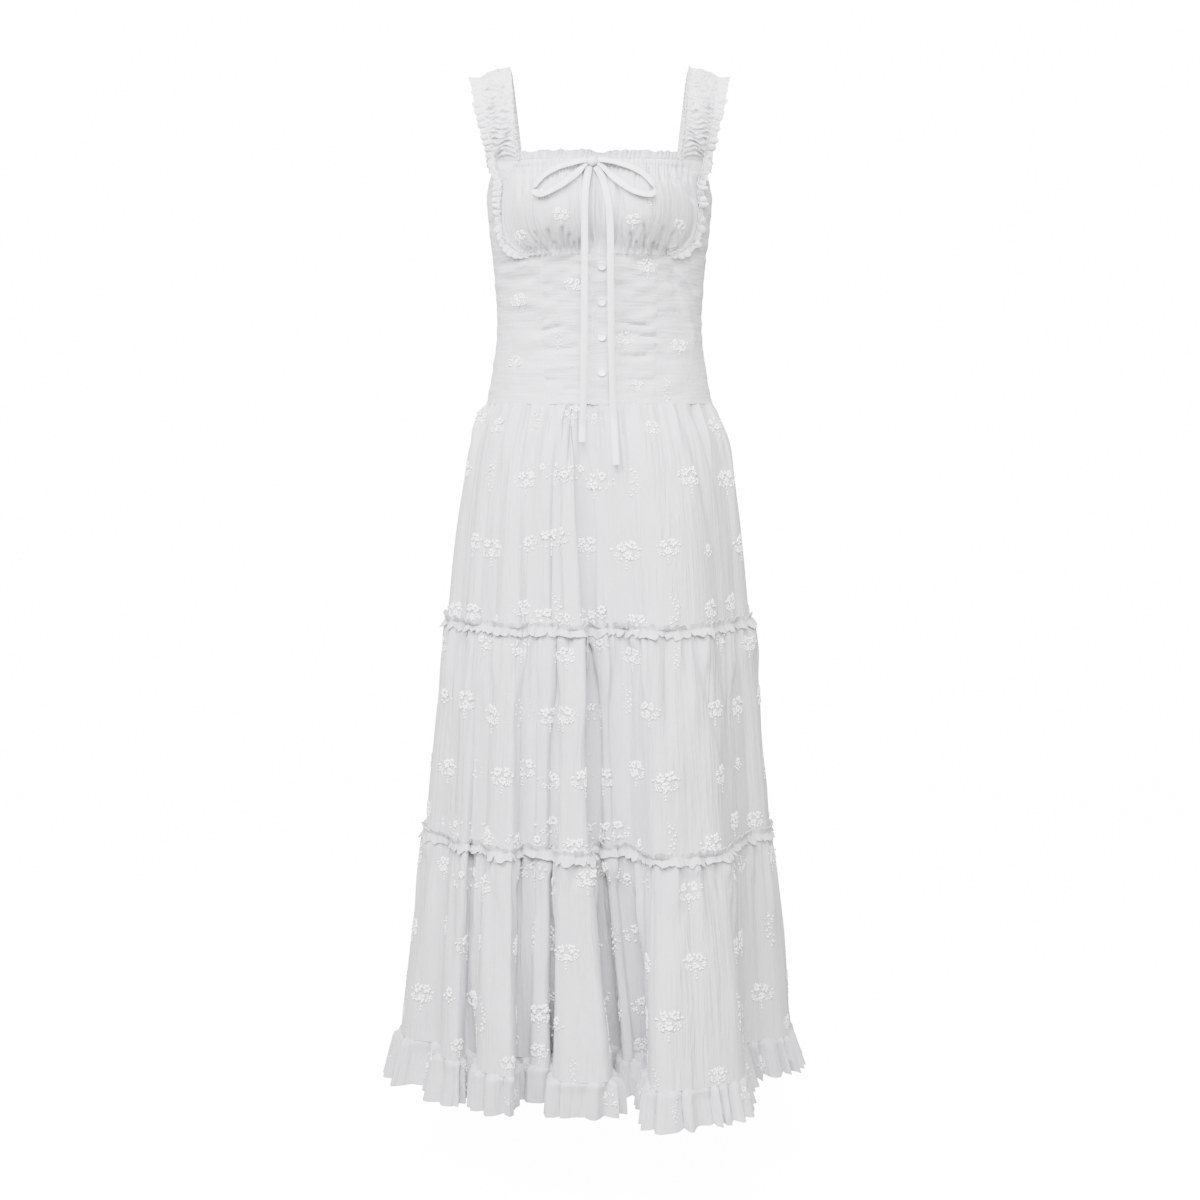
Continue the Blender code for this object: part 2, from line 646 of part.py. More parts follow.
def make_neck_frill(material):
    """The gathered frill that stands above the neckline's drawstring channel."""
    columns = 4 * NECK_WAVES + 1
    x = np.linspace(-0.1015, 0.1015, columns)[None, :]
    z = np.array([NECK_Z + SEAM_GAP, NECK_Z + NECK_FRILL_HEIGHT * 0.5, NECK_Z + NECK_FRILL_HEIGHT])[:, None]
    x, z = np.broadcast_arrays(x, z)
    angles = angle_at(x, np.full_like(z, NECK_Z))
    base = bodice_point(angles, np.full_like(z, NECK_Z))
    n = normals(bodice_point, angles, np.full_like(z, NECK_Z), 0.003, level=True)
    way = (z - z[0]) / NECK_FRILL_HEIGHT
    wave = NECK_WAVE_DEPTH * np.cos(2 * math.pi * NECK_WAVES * (x + 0.1015) / 0.203)
    outer = base + n * (way * (0.0015 + wave))[..., None]
    dip = 0.004 * np.exp(-(((x - 0.003) / 0.014) ** 2))
    outer[..., 2] = z - dip * way
    return wall("neck_frill", outer, outer - n * CLOTH, material)


def strap_edges():
    """The strap's inner and outer edges from the front neckline, over the shoulder, to the back neckline."""
    front_x = np.array([0.1030, STRAP_OUTER_X])
    front = bodice_point(angle_at(front_x, np.full(2, NECK_Z)), np.full(2, NECK_Z))
    back = bodice_point(math.pi - angle_at(front_x, np.full(2, BACK_NECK_Z)), np.full(2, BACK_NECK_Z))
    front[:, 2] = NECK_Z + SEAM_GAP
    back[:, 2] = BACK_NECK_Z + SEAM_GAP
    rows = np.array(STRAP_EDGES)
    inner = through(np.concatenate([front[:1], rows[:, :3], back[:1]]), STRAP_STATIONS)
    outer = through(np.concatenate([front[1:], rows[:, 3:], back[1:]]), STRAP_STATIONS)
    return inner, outer


def strap_frames():
    """The strap's edges, with the unit directions across it and outwards at each station."""
    inner, outer = strap_edges()
    across = outer - inner
    across = across / np.linalg.norm(across, axis=1, keepdims=True)
    along = np.gradient((inner + outer) / 2, axis=0)
    along = along / np.linalg.norm(along, axis=1, keepdims=True)
    out = np.cross(across, along)
    out = out / np.linalg.norm(out, axis=1, keepdims=True)
    for end in (0, -1):
        out[end, 2] = 0.0
        out[end] = out[end] / np.linalg.norm(out[end])
    return inner, outer, across, out


def make_strap(side, name, material):
    inner, outer, _, out = strap_frames()
    share = np.linspace(0.0, 1.0, STRAP_COLUMNS)[None, :, None]
    top = inner[:, None] + (outer - inner)[:, None] * share
    crown = 0.0020 * np.sin(math.pi * share)
    ends = smoothstep(np.minimum(np.arange(STRAP_STATIONS), np.arange(STRAP_STATIONS)[::-1]) / 3.0)
    top = top + out[:, None] * crown * ends[:, None, None]
    under = top - out[:, None] * CLOTH
    wall(name, mirrored(top, side), mirrored(under, side), material)


def make_strap_ruffle(side, name, material):
    """A ruffle along the strap's outer edge that runs on down beside the cup to the underbust."""
    _, outer, across, out = strap_frames()
    strap_base = outer[::-1] + across[::-1] * 0.0004
    strap_side, strap_out = across[::-1], out[::-1]
    route = [
        # x, z down the bodice beside the cup
        (0.1325, -0.1290),
        (0.1300, -0.1400),
        (0.1278, -0.1560),
        (0.1268, -0.1780),
        (0.1266, -0.2010),
        (0.1210, -0.2215),
        (0.1085, -0.2362),
        (0.0890, -0.2452),
    ]
    beside = through(route, 15)
    angles = angle_at(beside[:, 0], beside[:, 1])
    surface = bodice_point(angles, beside[:, 1])
    surface_out = normals(bodice_point, angles, beside[:, 1], 0.003)
    along = np.gradient(surface, axis=0)
    along = along / np.linalg.norm(along, axis=1, keepdims=True)
    surface_side = np.cross(surface_out, along)
    surface_side = surface_side * np.sign(surface_side[:, :1])
    base = np.concatenate([strap_base[:-1], surface + surface_out * (CLOTH + LAYER_GAP)])
    sideways = np.concatenate([strap_side[:-1], surface_side])
    outward = np.concatenate([strap_out[:-1], surface_out])
    count = len(base)
    lift = np.zeros(count)
    lift[STRAP_STATIONS - 4 : STRAP_STATIONS - 1] = np.array([0.3, 0.7, 1.0]) * (CLOTH + LAYER_GAP)
    base = base + outward * lift[:, None]
    share = np.linspace(0.0, 1.0, count)
    stations = np.linspace(0.0, 1.0, 4 * STRAP_WAVES + 1)
    base = np.stack([np.interp(stations, share, base[:, k]) for k in range(3)], axis=1)
    sideways = np.stack([np.interp(stations, share, sideways[:, k]) for k in range(3)], axis=1)
    outward = np.stack([np.interp(stations, share, outward[:, k]) for k in range(3)], axis=1)
    sideways = sideways / np.linalg.norm(sideways, axis=1, keepdims=True)
    outward = outward / np.linalg.norm(outward, axis=1, keepdims=True)
    narrow = smoothstep((stations - 0.55) / 0.20)
    width = STRAP_RUFFLE_WIDTH + (CUP_RUFFLE_WIDTH - STRAP_RUFFLE_WIDTH) * narrow
    wave = STRAP_WAVE_DEPTH * (0.55 + 0.5 * np.cos(2 * math.pi * STRAP_WAVES * stations))
    rows = []
    for way in (0.0, 0.5, 1.0):
        rows.append(base + sideways * (width * way)[:, None] + outward * (wave * way)[:, None])
    top = np.stack(rows)
    wall(name, mirrored(top, side), mirrored(top - outward[None] * CLOTH, side), material)


# Drawstring


def ribbon(name, path, widthways, material):
    """A flat tie along a path; widthways gives the direction of its width at each point."""
    along = np.gradient(path, axis=0)
    along = along / np.linalg.norm(along, axis=1, keepdims=True)
    wide = widthways - along * np.sum(widthways * along, axis=1, keepdims=True)
    wide = wide / np.linalg.norm(wide, axis=1, keepdims=True)
    thick = np.cross(along, wide)
    share = np.array([-0.5, 0.5])[None, :, None]
    middle = path[:, None] + wide[:, None] * share * TIE_WIDTH
    half = thick[:, None] * TIE_THICKNESS / 2
    return wall(name, middle + half, middle - half, material)


def knot_place():
    x, z = np.array([KNOT_X]), np.array([KNOT_Z])
    place = bodice_point(angle_at(x, z), z)[0]
    return place + np.array([0.0, -KNOT_STANDS_OFF, 0.0])


def make_knot(material):
    mesh = bmesh.new()
    bmesh.ops.create_uvsphere(mesh, u_segments=14, v_segments=8, radius=1.0)
    for v in mesh.verts:
        pinch = 1.0 - 0.22 * math.exp(-((v.co.x / 0.35) ** 2))
        v.co = Vector((v.co.x * KNOT_RADII[0], v.co.y * KNOT_RADII[1] * pinch, v.co.z * KNOT_RADII[2] * pinch))
    obj = add_object("tie_knot", mesh, material)
    obj.location = Vector(knot_place())


def tie_tail(name, route, material):
    """A free end of the drawstring: over the bust, then straight down until it rests on the skirt."""
    knot = knot_place()
    flat = through(route, 21)
    x, z = flat[:, 0], flat[:, 1]
    under = np.maximum(z, WAIST_SEAM_Z)
    bodice_y = bodice_point(angle_at(x, under), under)[:, 1]
    skirt_y = oval(angle_at(x, z), z)[1] - GATHER_DEPTH
    y = np.minimum.accumulate(np.where(z > WAIST_SEAM_Z, bodice_y, skirt_y)) - TAIL_STANDS_OFF
    y[0] = knot[1]
    y[1] = (y[0] + y[2]) / 2
    path = np.stack([x, y, z], axis=1)
    ribbon(name, path, np.tile(np.array([1.0, 0.0, 0.0]), (len(path), 1)), material)


def tie_loop(name, route, material):
    """A bow loop that leaves the knot's side, turns and comes back, standing off the bust."""
    knot = knot_place()
    flat = through(route, 27)
    surface = bodice_point(angle_at(flat[:, 0], flat[:, 1]), flat[:, 1])
    share = np.linspace(0.0, 1.0, len(flat))
    off = surface[:, 1] - LOOP_STANDS_OFF
    near = np.exp(-((np.minimum(share, 1 - share) / 0.10) ** 2))
    y = off * (1 - near) + knot[1] * near
    path = np.stack([flat[:, 0], y, flat[:, 1]], axis=1)
    wide = np.tile(np.array([0.0, -0.60, -0.80]), (len(path), 1))
    ribbon(name, path, wide, material)


TAIL_RIGHT = [
    # x, z down the tie at the dress's right
    (-0.0132, -0.1338),
    (-0.0175, -0.1650),
    (-0.0185, -0.2400),
    (-0.0190, -0.3300),
    (-0.0198, -0.4100),
    (-0.0215, -0.4780),
]
TAIL_LEFT = [
    (-0.0040, -0.1338),
    (0.0040, -0.1500),
    (0.0120, -0.1900),
    (0.0140, -0.2800),
    (0.0155, -0.3900),
    (0.0205, -0.5060),
]
LOOP_RIGHT = [
    # x, z round the loop at the wearer's right, from the knot and back
    (-0.0170, -0.1252),
    (-0.0330, -0.1290),
    (-0.0560, -0.1370),
    (-0.0740, -0.1500),
    (-0.0815, -0.1640),
    (-0.0740, -0.1705),
    (-0.0560, -0.1640),
    (-0.0330, -0.1470),
    (-0.0172, -0.1298),
]
LOOP_LEFT = [
    (-0.0010, -0.1247),
    (0.0150, -0.1270),
    (0.0380, -0.1340),
    (0.0560, -0.1450),
    (0.0670, -0.1600),
    (0.0655, -0.1700),
    (0.0480, -0.1690),
    (0.0270, -0.1560),
    (-0.0009, -0.1292),
]


def main():
    for old in list(bpy.data.objects):
        bpy.data.objects.remove(old)
    holder = bpy.data.objects.new("dress", None)
    bpy.context.scene.collection.objects.link(holder)
    cotton = make_material("white_cotton", WHITE, 0.85)
    button = make_material("pale_button", SHELL, 0.25)

    waist, seam_1, seam_2, hem_seam = WAIST_SEAM_Z, TIER_SEAM_1_Z, TIER_SEAM_2_Z, RUFFLE_SEAM_Z
    make_tier("skirt_tier_1", [waist, -0.453, -0.493, -0.561, seam_1 + TRIM_ABOVE, seam_1], cotton)
    make_tier("skirt_tier_2", [seam_1, seam_1 - TRIM_BELOW, -0.820, seam_2 + TRIM_ABOVE, seam_2], cotton)
    make_tier("skirt_tier_3", [seam_2, seam_2 - TRIM_BELOW, -1.090, hem_seam], cotton)
    make_hem_ruffle(cotton)
    make_trim("seam_frill_upper", TIER_SEAM_1_Z, cotton)
    make_trim("seam_frill_lower", TIER_SEAM_2_Z, cotton)

    make_bust(cotton)
    make_back(cotton)
    make_placket(cotton)
    make_neck_frill(cotton)
    for side, word in ((-1, "right"), (1, "left")):
        make_side_front(side, f"side_front_{word}", cotton)
        make_centre_front(side, f"centre_front_{word}", cotton)
        make_strap(side, f"strap_{word}", cotton)
        make_strap_ruffle(side, f"strap_ruffle_{word}", cotton)
    for index, z in enumerate(BUTTON_Z, 1):
        make_button(index, z, button)

    make_knot(cotton)
    tie_tail("tie_tail_right", TAIL_RIGHT, cotton)
    tie_tail("tie_tail_left", TAIL_LEFT, cotton)
    tie_loop("tie_loop_right", LOOP_RIGHT, cotton)
    tie_loop("tie_loop_left", LOOP_LEFT, cotton)


main()
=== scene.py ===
"""Looks of a white tiered maxi dress: gathered cloth, frills, ties, buttons, embroidery and stitching.

Metres, +Z up, +X to the dress's left side, the front towards -Y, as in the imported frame.
"""

import math

import bmesh
import bpy
import numpy as np
from mathutils import Matrix, Vector


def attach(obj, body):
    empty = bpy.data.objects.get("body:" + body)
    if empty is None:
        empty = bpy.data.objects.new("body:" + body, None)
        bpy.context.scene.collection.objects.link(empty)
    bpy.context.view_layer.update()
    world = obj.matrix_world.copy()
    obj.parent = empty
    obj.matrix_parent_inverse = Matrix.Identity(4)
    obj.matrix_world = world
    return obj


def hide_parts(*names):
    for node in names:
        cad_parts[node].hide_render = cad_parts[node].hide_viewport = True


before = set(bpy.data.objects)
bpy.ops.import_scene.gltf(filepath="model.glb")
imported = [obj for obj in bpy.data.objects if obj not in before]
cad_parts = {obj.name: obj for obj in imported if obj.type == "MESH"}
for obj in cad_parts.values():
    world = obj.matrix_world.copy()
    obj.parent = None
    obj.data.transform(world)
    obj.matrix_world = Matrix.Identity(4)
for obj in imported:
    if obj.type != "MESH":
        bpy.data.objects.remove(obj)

bl_info = {
    "name": "Tiered maxi dress",
    "version": (1, 0, 0),
    "blender": (4, 5, 0),
    "location": "View3D > Sidebar > Dress",
    "description": "Makes the cloth, ties, buttons, embroidery and stitching of a tiered dress round its frame",
    "category": "Add Mesh",
}

# The photograph: real size of a pixel at the side seams, its middle and the camera's distance
PIXEL = 0.0013
IMAGE_SIZE = 1200
CENTRE_PX = 599.5
LEVEL_PX = 400.0
LEVEL_Z = -0.426
CAMERA_DISTANCE = 2.8
SENSOR = 0.036

# Heights of the main seams, below the shoulders
SEAM_GAP = 0.0003
SEAM_LAP = 0.0012
LAP_RISE = 0.0009
STEP = 0.0004
NECK_Z = -0.1225
BACK_NECK_Z = -0.1265
UNDERARM_Z = -0.168
UNDERBUST_Z = -0.241
WAIST_SEAM_Z = -0.431
TIER_SEAM_1_Z = -0.708
TIER_SEAM_2_Z = -0.977
RUFFLE_SEAM_Z = -1.2335
HEM_Z = -1.2750
HEM_DROP_LEFT = 0.014

# The figure's and the skirt's cross-sections, one row for each height
SECTION_POWER = 2.2
SECTIONS = [
    # height, half width, front depth, back depth, share of the hem's folds
    (-0.060, 0.1490, 0.086, 0.084, 0.00),
    (-0.119, 0.1500, 0.100, 0.090, 0.00),
    (-0.168, 0.1460, 0.106, 0.094, 0.00),
    (-0.205, 0.1430, 0.105, 0.092, 0.00),
    (-0.241, 0.1385, 0.099, 0.086, 0.00),
    (-0.290, 0.1342, 0.091, 0.080, 0.00),
    (-0.338, 0.1325, 0.088, 0.078, 0.00),
    (-0.385, 0.1380, 0.094, 0.085, 0.00),
    (-0.431, 0.1465, 0.105, 0.099, 0.03),
    (-0.478, 0.1650, 0.125, 0.120, 0.12),
    (-0.556, 0.1800, 0.143, 0.140, 0.26),
    (-0.634, 0.1895, 0.153, 0.152, 0.37),
    (-0.708, 0.1965, 0.163, 0.163, 0.45),
    (-0.816, 0.2080, 0.178, 0.180, 0.53),
    (-0.977, 0.2220, 0.200, 0.203, 0.64),
    (-1.100, 0.2370, 0.218, 0.222, 0.82),
    (-1.2335, 0.2490, 0.240, 0.243, 1.00),
    (-1.290, 0.2530, 0.245, 0.248, 1.04),
]

# The skirt's main folds at the ruffle seam, seen from above, round from the dress's right side
HEM_FOLDS = [
    # fold, crest x, crest y, crest width, valley x, valley y, valley width
    ("right side", -0.247, -0.046, 0.064, -0.198, -0.104, 0.022),
    ("front right outer", -0.186, -0.158, 0.034, -0.154, -0.130, 0.016),
    ("front right", -0.126, -0.218, 0.046, -0.092, -0.150, 0.020),
    ("front right inner", -0.072, -0.190, 0.020, -0.052, -0.112, 0.020),
    ("front centre", -0.020, -0.246, 0.062, 0.014, -0.104, 0.024),
    ("front channel", 0.035, -0.166, 0.010, 0.050, -0.134, 0.018),
    ("front left", 0.118, -0.262, 0.112, 0.176, -0.100, 0.024),
    ("left side", 0.238, -0.034, 0.078, 0.196, 0.046, 0.022),
    ("back left outer", 0.226, 0.100, 0.036, 0.174, 0.112, 0.022),
    ("back left", 0.190, 0.178, 0.042, 0.136, 0.148, 0.022),
    ("back left inner", 0.132, 0.222, 0.036, 0.088, 0.156, 0.022),
    ("back centre left", 0.060, 0.250, 0.046, 0.026, 0.148, 0.024),
    ("back centre", -0.012, 0.250, 0.044, -0.044, 0.164, 0.022),
    ("back centre right", -0.084, 0.242, 0.040, -0.106, 0.148, 0.022),
    ("back right inner", -0.148, 0.206, 0.038, -0.150, 0.134, 0.020),
    ("back right", -0.206, 0.152, 0.038, -0.182, 0.086, 0.022),
    ("back right outer", -0.246, 0.074, 0.046, -0.204, 0.026, 0.022),
]
CHANNEL_FOLD = 4
CHANNEL_LEAN_DEG = 11.0
CHANNEL_LEAN_SPREAD = 0.075
HEM_HALF_WIDTH = 0.250
HEM_FRONT = 0.240
HEM_BACK = 0.243
CURVE_SAMPLES = 1440
FOLD_BRIDGE = 0.022

# The skirt's tiers, from the waist down
TIERS = [
    # piece, top, bottom, columns, rows, gathers, longest gather, flat width, flat length
    ("upper_tier", WAIST_SEAM_Z, TIER_SEAM_1_Z, 600, 38, 84, 0.150, 1.55, 0.280),
    ("middle_tier", TIER_SEAM_1_Z, TIER_SEAM_2_Z, 840, 34, 132, 0.150, 2.30, 0.272),
    ("lower_tier", TIER_SEAM_2_Z, RUFFLE_SEAM_Z, 1040, 30, 170, 0.140, 3.60, 0.260),
]

# Creases of the skirt between its main folds; the share is the way round from the right side seam
SKIRT_CREASES = [
    # piece, share and height at the top, share and height at the bottom, half width, lift
    ("upper_tier", 0.285, -0.433, 0.287, -0.706, 0.0075, -0.0065),
    ("upper_tier", 0.240, -0.433, 0.262, -0.706, 0.0060, -0.0040),
    ("upper_tier", 0.384, -0.436, 0.402, -0.640, 0.0048, -0.0042),
    ("upper_tier", 0.396, -0.436, 0.416, -0.650, 0.0060, 0.0030),
    ("upper_tier", 0.010, -0.440, 0.035, -0.600, 0.0060, 0.0028),
    ("upper_tier", 0.105, -0.470, 0.112, -0.680, 0.0065, -0.0034),
    ("upper_tier", 0.130, -0.436, 0.136, -0.600, 0.0055, 0.0026),
    ("upper_tier", 0.165, -0.436, 0.172, -0.690, 0.0060, -0.0026),
    ("upper_tier", 0.205, -0.500, 0.206, -0.700, 0.0060, 0.0026),
    ("upper_tier", 0.345, -0.440, 0.352, -0.560, 0.0060, 0.0030),
    ("upper_tier", 0.430, -0.436, 0.438, -0.700, 0.0065, 0.0030),
    ("upper_tier", 0.520, -0.436, 0.528, -0.690, 0.0070, -0.0036),
    ("upper_tier", 0.590, -0.440, 0.584, -0.640, 0.0060, 0.0030),
    ("upper_tier", 0.660, -0.436, 0.672, -0.700, 0.0070, -0.0040),
    ("upper_tier", 0.745, -0.436, 0.742, -0.660, 0.0065, 0.0034),
    ("upper_tier", 0.825, -0.436, 0.815, -0.700, 0.0070, -0.0036),
    ("upper_tier", 0.930, -0.450, 0.938, -0.690, 0.0060, 0.0030),
    ("middle_tier", 0.272, -0.712, 0.275, -0.974, 0.0080, -0.0060),
    ("middle_tier", 0.100, -0.712, 0.112, -0.940, 0.0065, -0.0036),
    ("middle_tier", 0.060, -0.720, 0.064, -0.960, 0.0065, 0.0030),
    ("middle_tier", 0.150, -0.712, 0.146, -0.900, 0.0060, 0.0030),
    ("middle_tier", 0.232, -0.712, 0.236, -0.860, 0.0055, -0.0030),
    ("middle_tier", 0.372, -0.712, 0.398, -0.930, 0.0050, -0.0044),
    ("middle_tier", 0.386, -0.712, 0.412, -0.960, 0.0065, 0.0036),
    ("middle_tier", 0.350, -0.716, 0.352, -0.850, 0.0055, 0.0026),
    ("middle_tier", 0.330, -0.712, 0.327, -0.800, 0.0050, -0.0026),
    ("middle_tier", 0.455, -0.712, 0.462, -0.950, 0.0065, 0.0030),
    ("middle_tier", 0.545, -0.712, 0.548, -0.960, 0.0070, -0.0038),
    ("middle_tier", 0.615, -0.712, 0.607, -0.880, 0.0060, 0.0034),
    ("middle_tier", 0.700, -0.712, 0.712, -0.960, 0.0070, -0.0040),
    ("middle_tier", 0.780, -0.712, 0.775, -0.900, 0.0065, 0.0034),
    ("middle_tier", 0.860, -0.712, 0.868, -0.950, 0.0065, -0.0036),
    ("middle_tier", 0.960, -0.712, 0.955, -0.920, 0.0065, 0.0030),
    ("lower_tier", 0.284, -0.980, 0.283, -1.230, 0.0080, -0.0050),
    ("lower_tier", 0.345, -0.980, 0.340, -1.050, 0.0050, -0.0036),
    ("lower_tier", 0.372, -0.980, 0.377, -1.075, 0.0050, -0.0040),
    ("lower_tier", 0.388, -0.985, 0.392, -1.180, 0.0055, -0.0040),
    ("lower_tier", 0.360, -1.060, 0.352, -1.228, 0.0060, 0.0026),
    ("lower_tier", 0.418, -0.980, 0.420, -1.200, 0.0060, -0.0040),
    ("lower_tier", 0.448, -0.980, 0.452, -1.225, 0.0065, 0.0036),
    ("lower_tier", 0.020, -0.980, 0.026, -1.225, 0.0065, 0.0034),
    ("lower_tier", 0.045, -0.980, 0.050, -1.160, 0.0060, -0.0034),
    ("lower_tier", 0.090, -0.990, 0.094, -1.210, 0.0060, 0.0030),
    ("lower_tier", 0.148, -0.980, 0.152, -1.190, 0.0060, 0.0034),
    ("lower_tier", 0.190, -0.980, 0.194, -1.230, 0.0055, -0.0030),
    ("lower_tier", 0.215, -0.980, 0.210, -1.150, 0.0060, 0.0030),
    ("lower_tier", 0.500, -0.980, 0.503, -1.200, 0.0065, -0.0036),
    ("lower_tier", 0.560, -0.980, 0.556, -1.220, 0.0065, 0.0034),
    ("lower_tier", 0.620, -0.980, 0.627, -1.180, 0.0065, -0.0036),
    ("lower_tier", 0.690, -0.980, 0.688, -1.225, 0.0070, 0.0034),
    ("lower_tier", 0.755, -0.980, 0.762, -1.200, 0.0065, -0.0036),
    ("lower_tier", 0.820, -0.980, 0.815, -1.190, 0.0065, 0.0034),
    ("lower_tier", 0.890, -0.980, 0.896, -1.225, 0.0065, -0.0036),
    ("lower_tier", 0.955, -0.980, 0.950, -1.170, 0.0060, 0.0034),
]

# The bust cups
CUP_CENTRE_X = 0.060
CUP_CENTRE_Z = -0.187
CUP_HALF_WIDTH = 0.066
CUP_HALF_HEIGHT = 0.066
CUP_DEPTH = 0.031
CUP_EDGE = [
    # x, z down the outer seam of a cup, from the neckline corner to the underbust
    (0.1030, NECK_Z),
    (0.1120, -0.1380),
    (0.1195, -0.1570),
    (0.1240, -0.1790),
    (0.1240, -0.2010),
    (0.1185, -0.2200),
    (0.1060, -0.2340),
    (0.0870, -0.2425),
]

# Gathers and pulls in the bust: deep ones over the underbust seam and beside the ties
BUST_CREASES = [
    # x, z at one end, x, z at the other, half width, lift
    (-0.0775, -0.2410, -0.0790, -0.2160, 0.0022, -0.0022),
    (-0.0600, -0.2420, -0.0640, -0.2130, 0.0020, -0.0030),
    (-0.0535, -0.2420, -0.0560, -0.2280, 0.0018, -0.0024),
    (-0.0450, -0.2420, -0.0460, -0.2100, 0.0022, -0.0034),
    (-0.0390, -0.2420, -0.0375, -0.2190, 0.0020, -0.0030),
    (-0.0310, -0.2420, -0.0315, -0.2280, 0.0018, -0.0026),
    (-0.0245, -0.2420, -0.0250, -0.2240, 0.0018, -0.0026),
    (-0.0095, -0.2420, -0.0110, -0.1420, 0.0030, -0.0060),
    (-0.0010, -0.2420, -0.0030, -0.1500, 0.0022, -0.0040),
    (0.0055, -0.1480, 0.0060, -0.2300, 0.0026, 0.0026),
    (0.0190, -0.2420, 0.0215, -0.1500, 0.0028, -0.0056),
    (0.0290, -0.2420, 0.0275, -0.1750, 0.0022, -0.0026),
    (0.0400, -0.2420, 0.0385, -0.2180, 0.0020, -0.0032),
    (0.0480, -0.2420, 0.0460, -0.2280, 0.0018, -0.0024),
    (0.0565, -0.2420, 0.0560, -0.2060, 0.0020, -0.0032),
    (0.0690, -0.2420, 0.0680, -0.2280, 0.0018, -0.0026),
    (0.0725, -0.2420, 0.0815, -0.2110, 0.0020, -0.0032),
    (0.0860, -0.2420, 0.0945, -0.2150, 0.0020, -0.0028),
    (0.0880, -0.1330, 0.0940, -0.1560, 0.0022, -0.0026),
    (0.0970, -0.1330, 0.1205, -0.1760, 0.0024, -0.0032),
    (0.0760, -0.1330, 0.0790, -0.1560, 0.0022, -0.0020),
    (0.0630, -0.1330, 0.0640, -0.1560, 0.0020, -0.0018),
    (0.0480, -0.1330, 0.0450, -0.1620, 0.0022, -0.0020),
    (-0.0980, -0.1340, -0.1010, -0.1750, 0.0024, -0.0022),
    (-0.0880, -0.1330, -0.0900, -0.1650, 0.0022, -0.0018),
    (-0.0740, -0.1330, -0.0750, -0.1560, 0.0020, -0.0014),
    (-0.0560, -0.1330, -0.0520, -0.1500, 0.0020, -0.0016),
    (-0.0350, -0.1330, -0.0300, -0.1500, 0.0020, -0.0020),
    (-0.0200, -0.1330, -0.0190, -0.1600, 0.0020, -0.0030),
]

# Wrinkles across the bodice, front and back, slack cloth drawn round the waist
FRONT_WRINKLES = [
    # x, z at one end, x, z at the other, half width, lift
    (-0.1250, -0.2720, -0.0760, -0.2700, 0.0028, -0.0016),
    (-0.1200, -0.2860, -0.0850, -0.2820, 0.0026, 0.0012),
    (-0.1280, -0.3160, -0.0800, -0.3120, 0.0030, -0.0018),
    (-0.1100, -0.3300, -0.0620, -0.3240, 0.0028, -0.0018),
    (-0.0980, -0.3420, -0.0450, -0.3330, 0.0030, -0.0022),
    (-0.1280, -0.3520, -0.0700, -0.3500, 0.0030, 0.0016),
    (-0.0820, -0.3620, -0.0250, -0.3600, 0.0028, -0.0018),
    (-0.1260, -0.3780, -0.0800, -0.3740, 0.0030, -0.0016),
    (-0.0660, -0.3860, -0.0220, -0.3840, 0.0026, 0.0014),
    (-0.1100, -0.4020, -0.0500, -0.4000, 0.0030, -0.0014),
    (-0.0450, -0.4120, -0.0180, -0.4130, 0.0024, -0.0014),
    (0.0250, -0.3300, 0.0680, -0.3320, 0.0026, -0.0020),
    (0.0230, -0.3430, 0.0800, -0.3460, 0.0028, -0.0022),
    (0.0350, -0.3560, 0.0900, -0.3540, 0.0026, 0.0016),
    (0.0700, -0.3190, 0.1080, -0.3230, 0.0028, -0.0022),
    (0.0250, -0.3720, 0.0640, -0.3690, 0.0026, -0.0020),
    (0.0680, -0.3700, 0.1180, -0.3740, 0.0030, -0.0016),
    (0.0900, -0.2620, 0.1120, -0.3020, 0.0036, -0.0026),
    (0.1050, -0.2900, 0.1220, -0.3560, 0.0040, 0.0024),
    (0.0980, -0.2600, 0.1270, -0.3000, 0.0032, 0.0020),
    (0.0300, -0.4020, 0.0900, -0.3990, 0.0028, -0.0014),
    (0.0700, -0.2780, 0.1000, -0.2760, 0.0024, -0.0012),
    (-0.1300, -0.2560, -0.1000, -0.2440, 0.0030, -0.0018),
    (-0.1320, -0.2680, -0.0900, -0.2520, 0.0030, 0.0014),
]
BACK_WRINKLES = [
    (-0.1100, -0.2450, -0.0300, -0.2520, 0.0034, -0.0014),
    (0.0100, -0.2350, 0.0950, -0.2400, 0.0034, -0.0014),
    (-0.1200, -0.2900, -0.0500, -0.2880, 0.0030, -0.0018),
    (-0.0350, -0.3050, 0.0600, -0.3010, 0.0034, -0.0022),
    (0.0500, -0.2850, 0.1200, -0.2920, 0.0030, 0.0018),
    (-0.1250, -0.3240, -0.0300, -0.3260, 0.0034, -0.0024),
    (0.0000, -0.3300, 0.1050, -0.3240, 0.0034, -0.0026),
    (-0.0900, -0.3440, 0.0150, -0.3420, 0.0034, 0.0020),
    (0.0350, -0.3480, 0.1200, -0.3520, 0.0032, -0.0022),
    (-0.1200, -0.3660, -0.0400, -0.3620, 0.0032, -0.0022),
    (-0.0200, -0.3700, 0.0800, -0.3740, 0.0034, -0.0022),
    (-0.0800, -0.3960, 0.0300, -0.3930, 0.0034, -0.0016),
    (0.0500, -0.4000, 0.1200, -0.3960, 0.0030, 0.0014),
    (-0.0750, -0.1650, -0.0300, -0.2050, 0.0040, -0.0016),
    (0.0700, -0.1620, 0.0350, -0.2000, 0.0040, -0.0016),
]

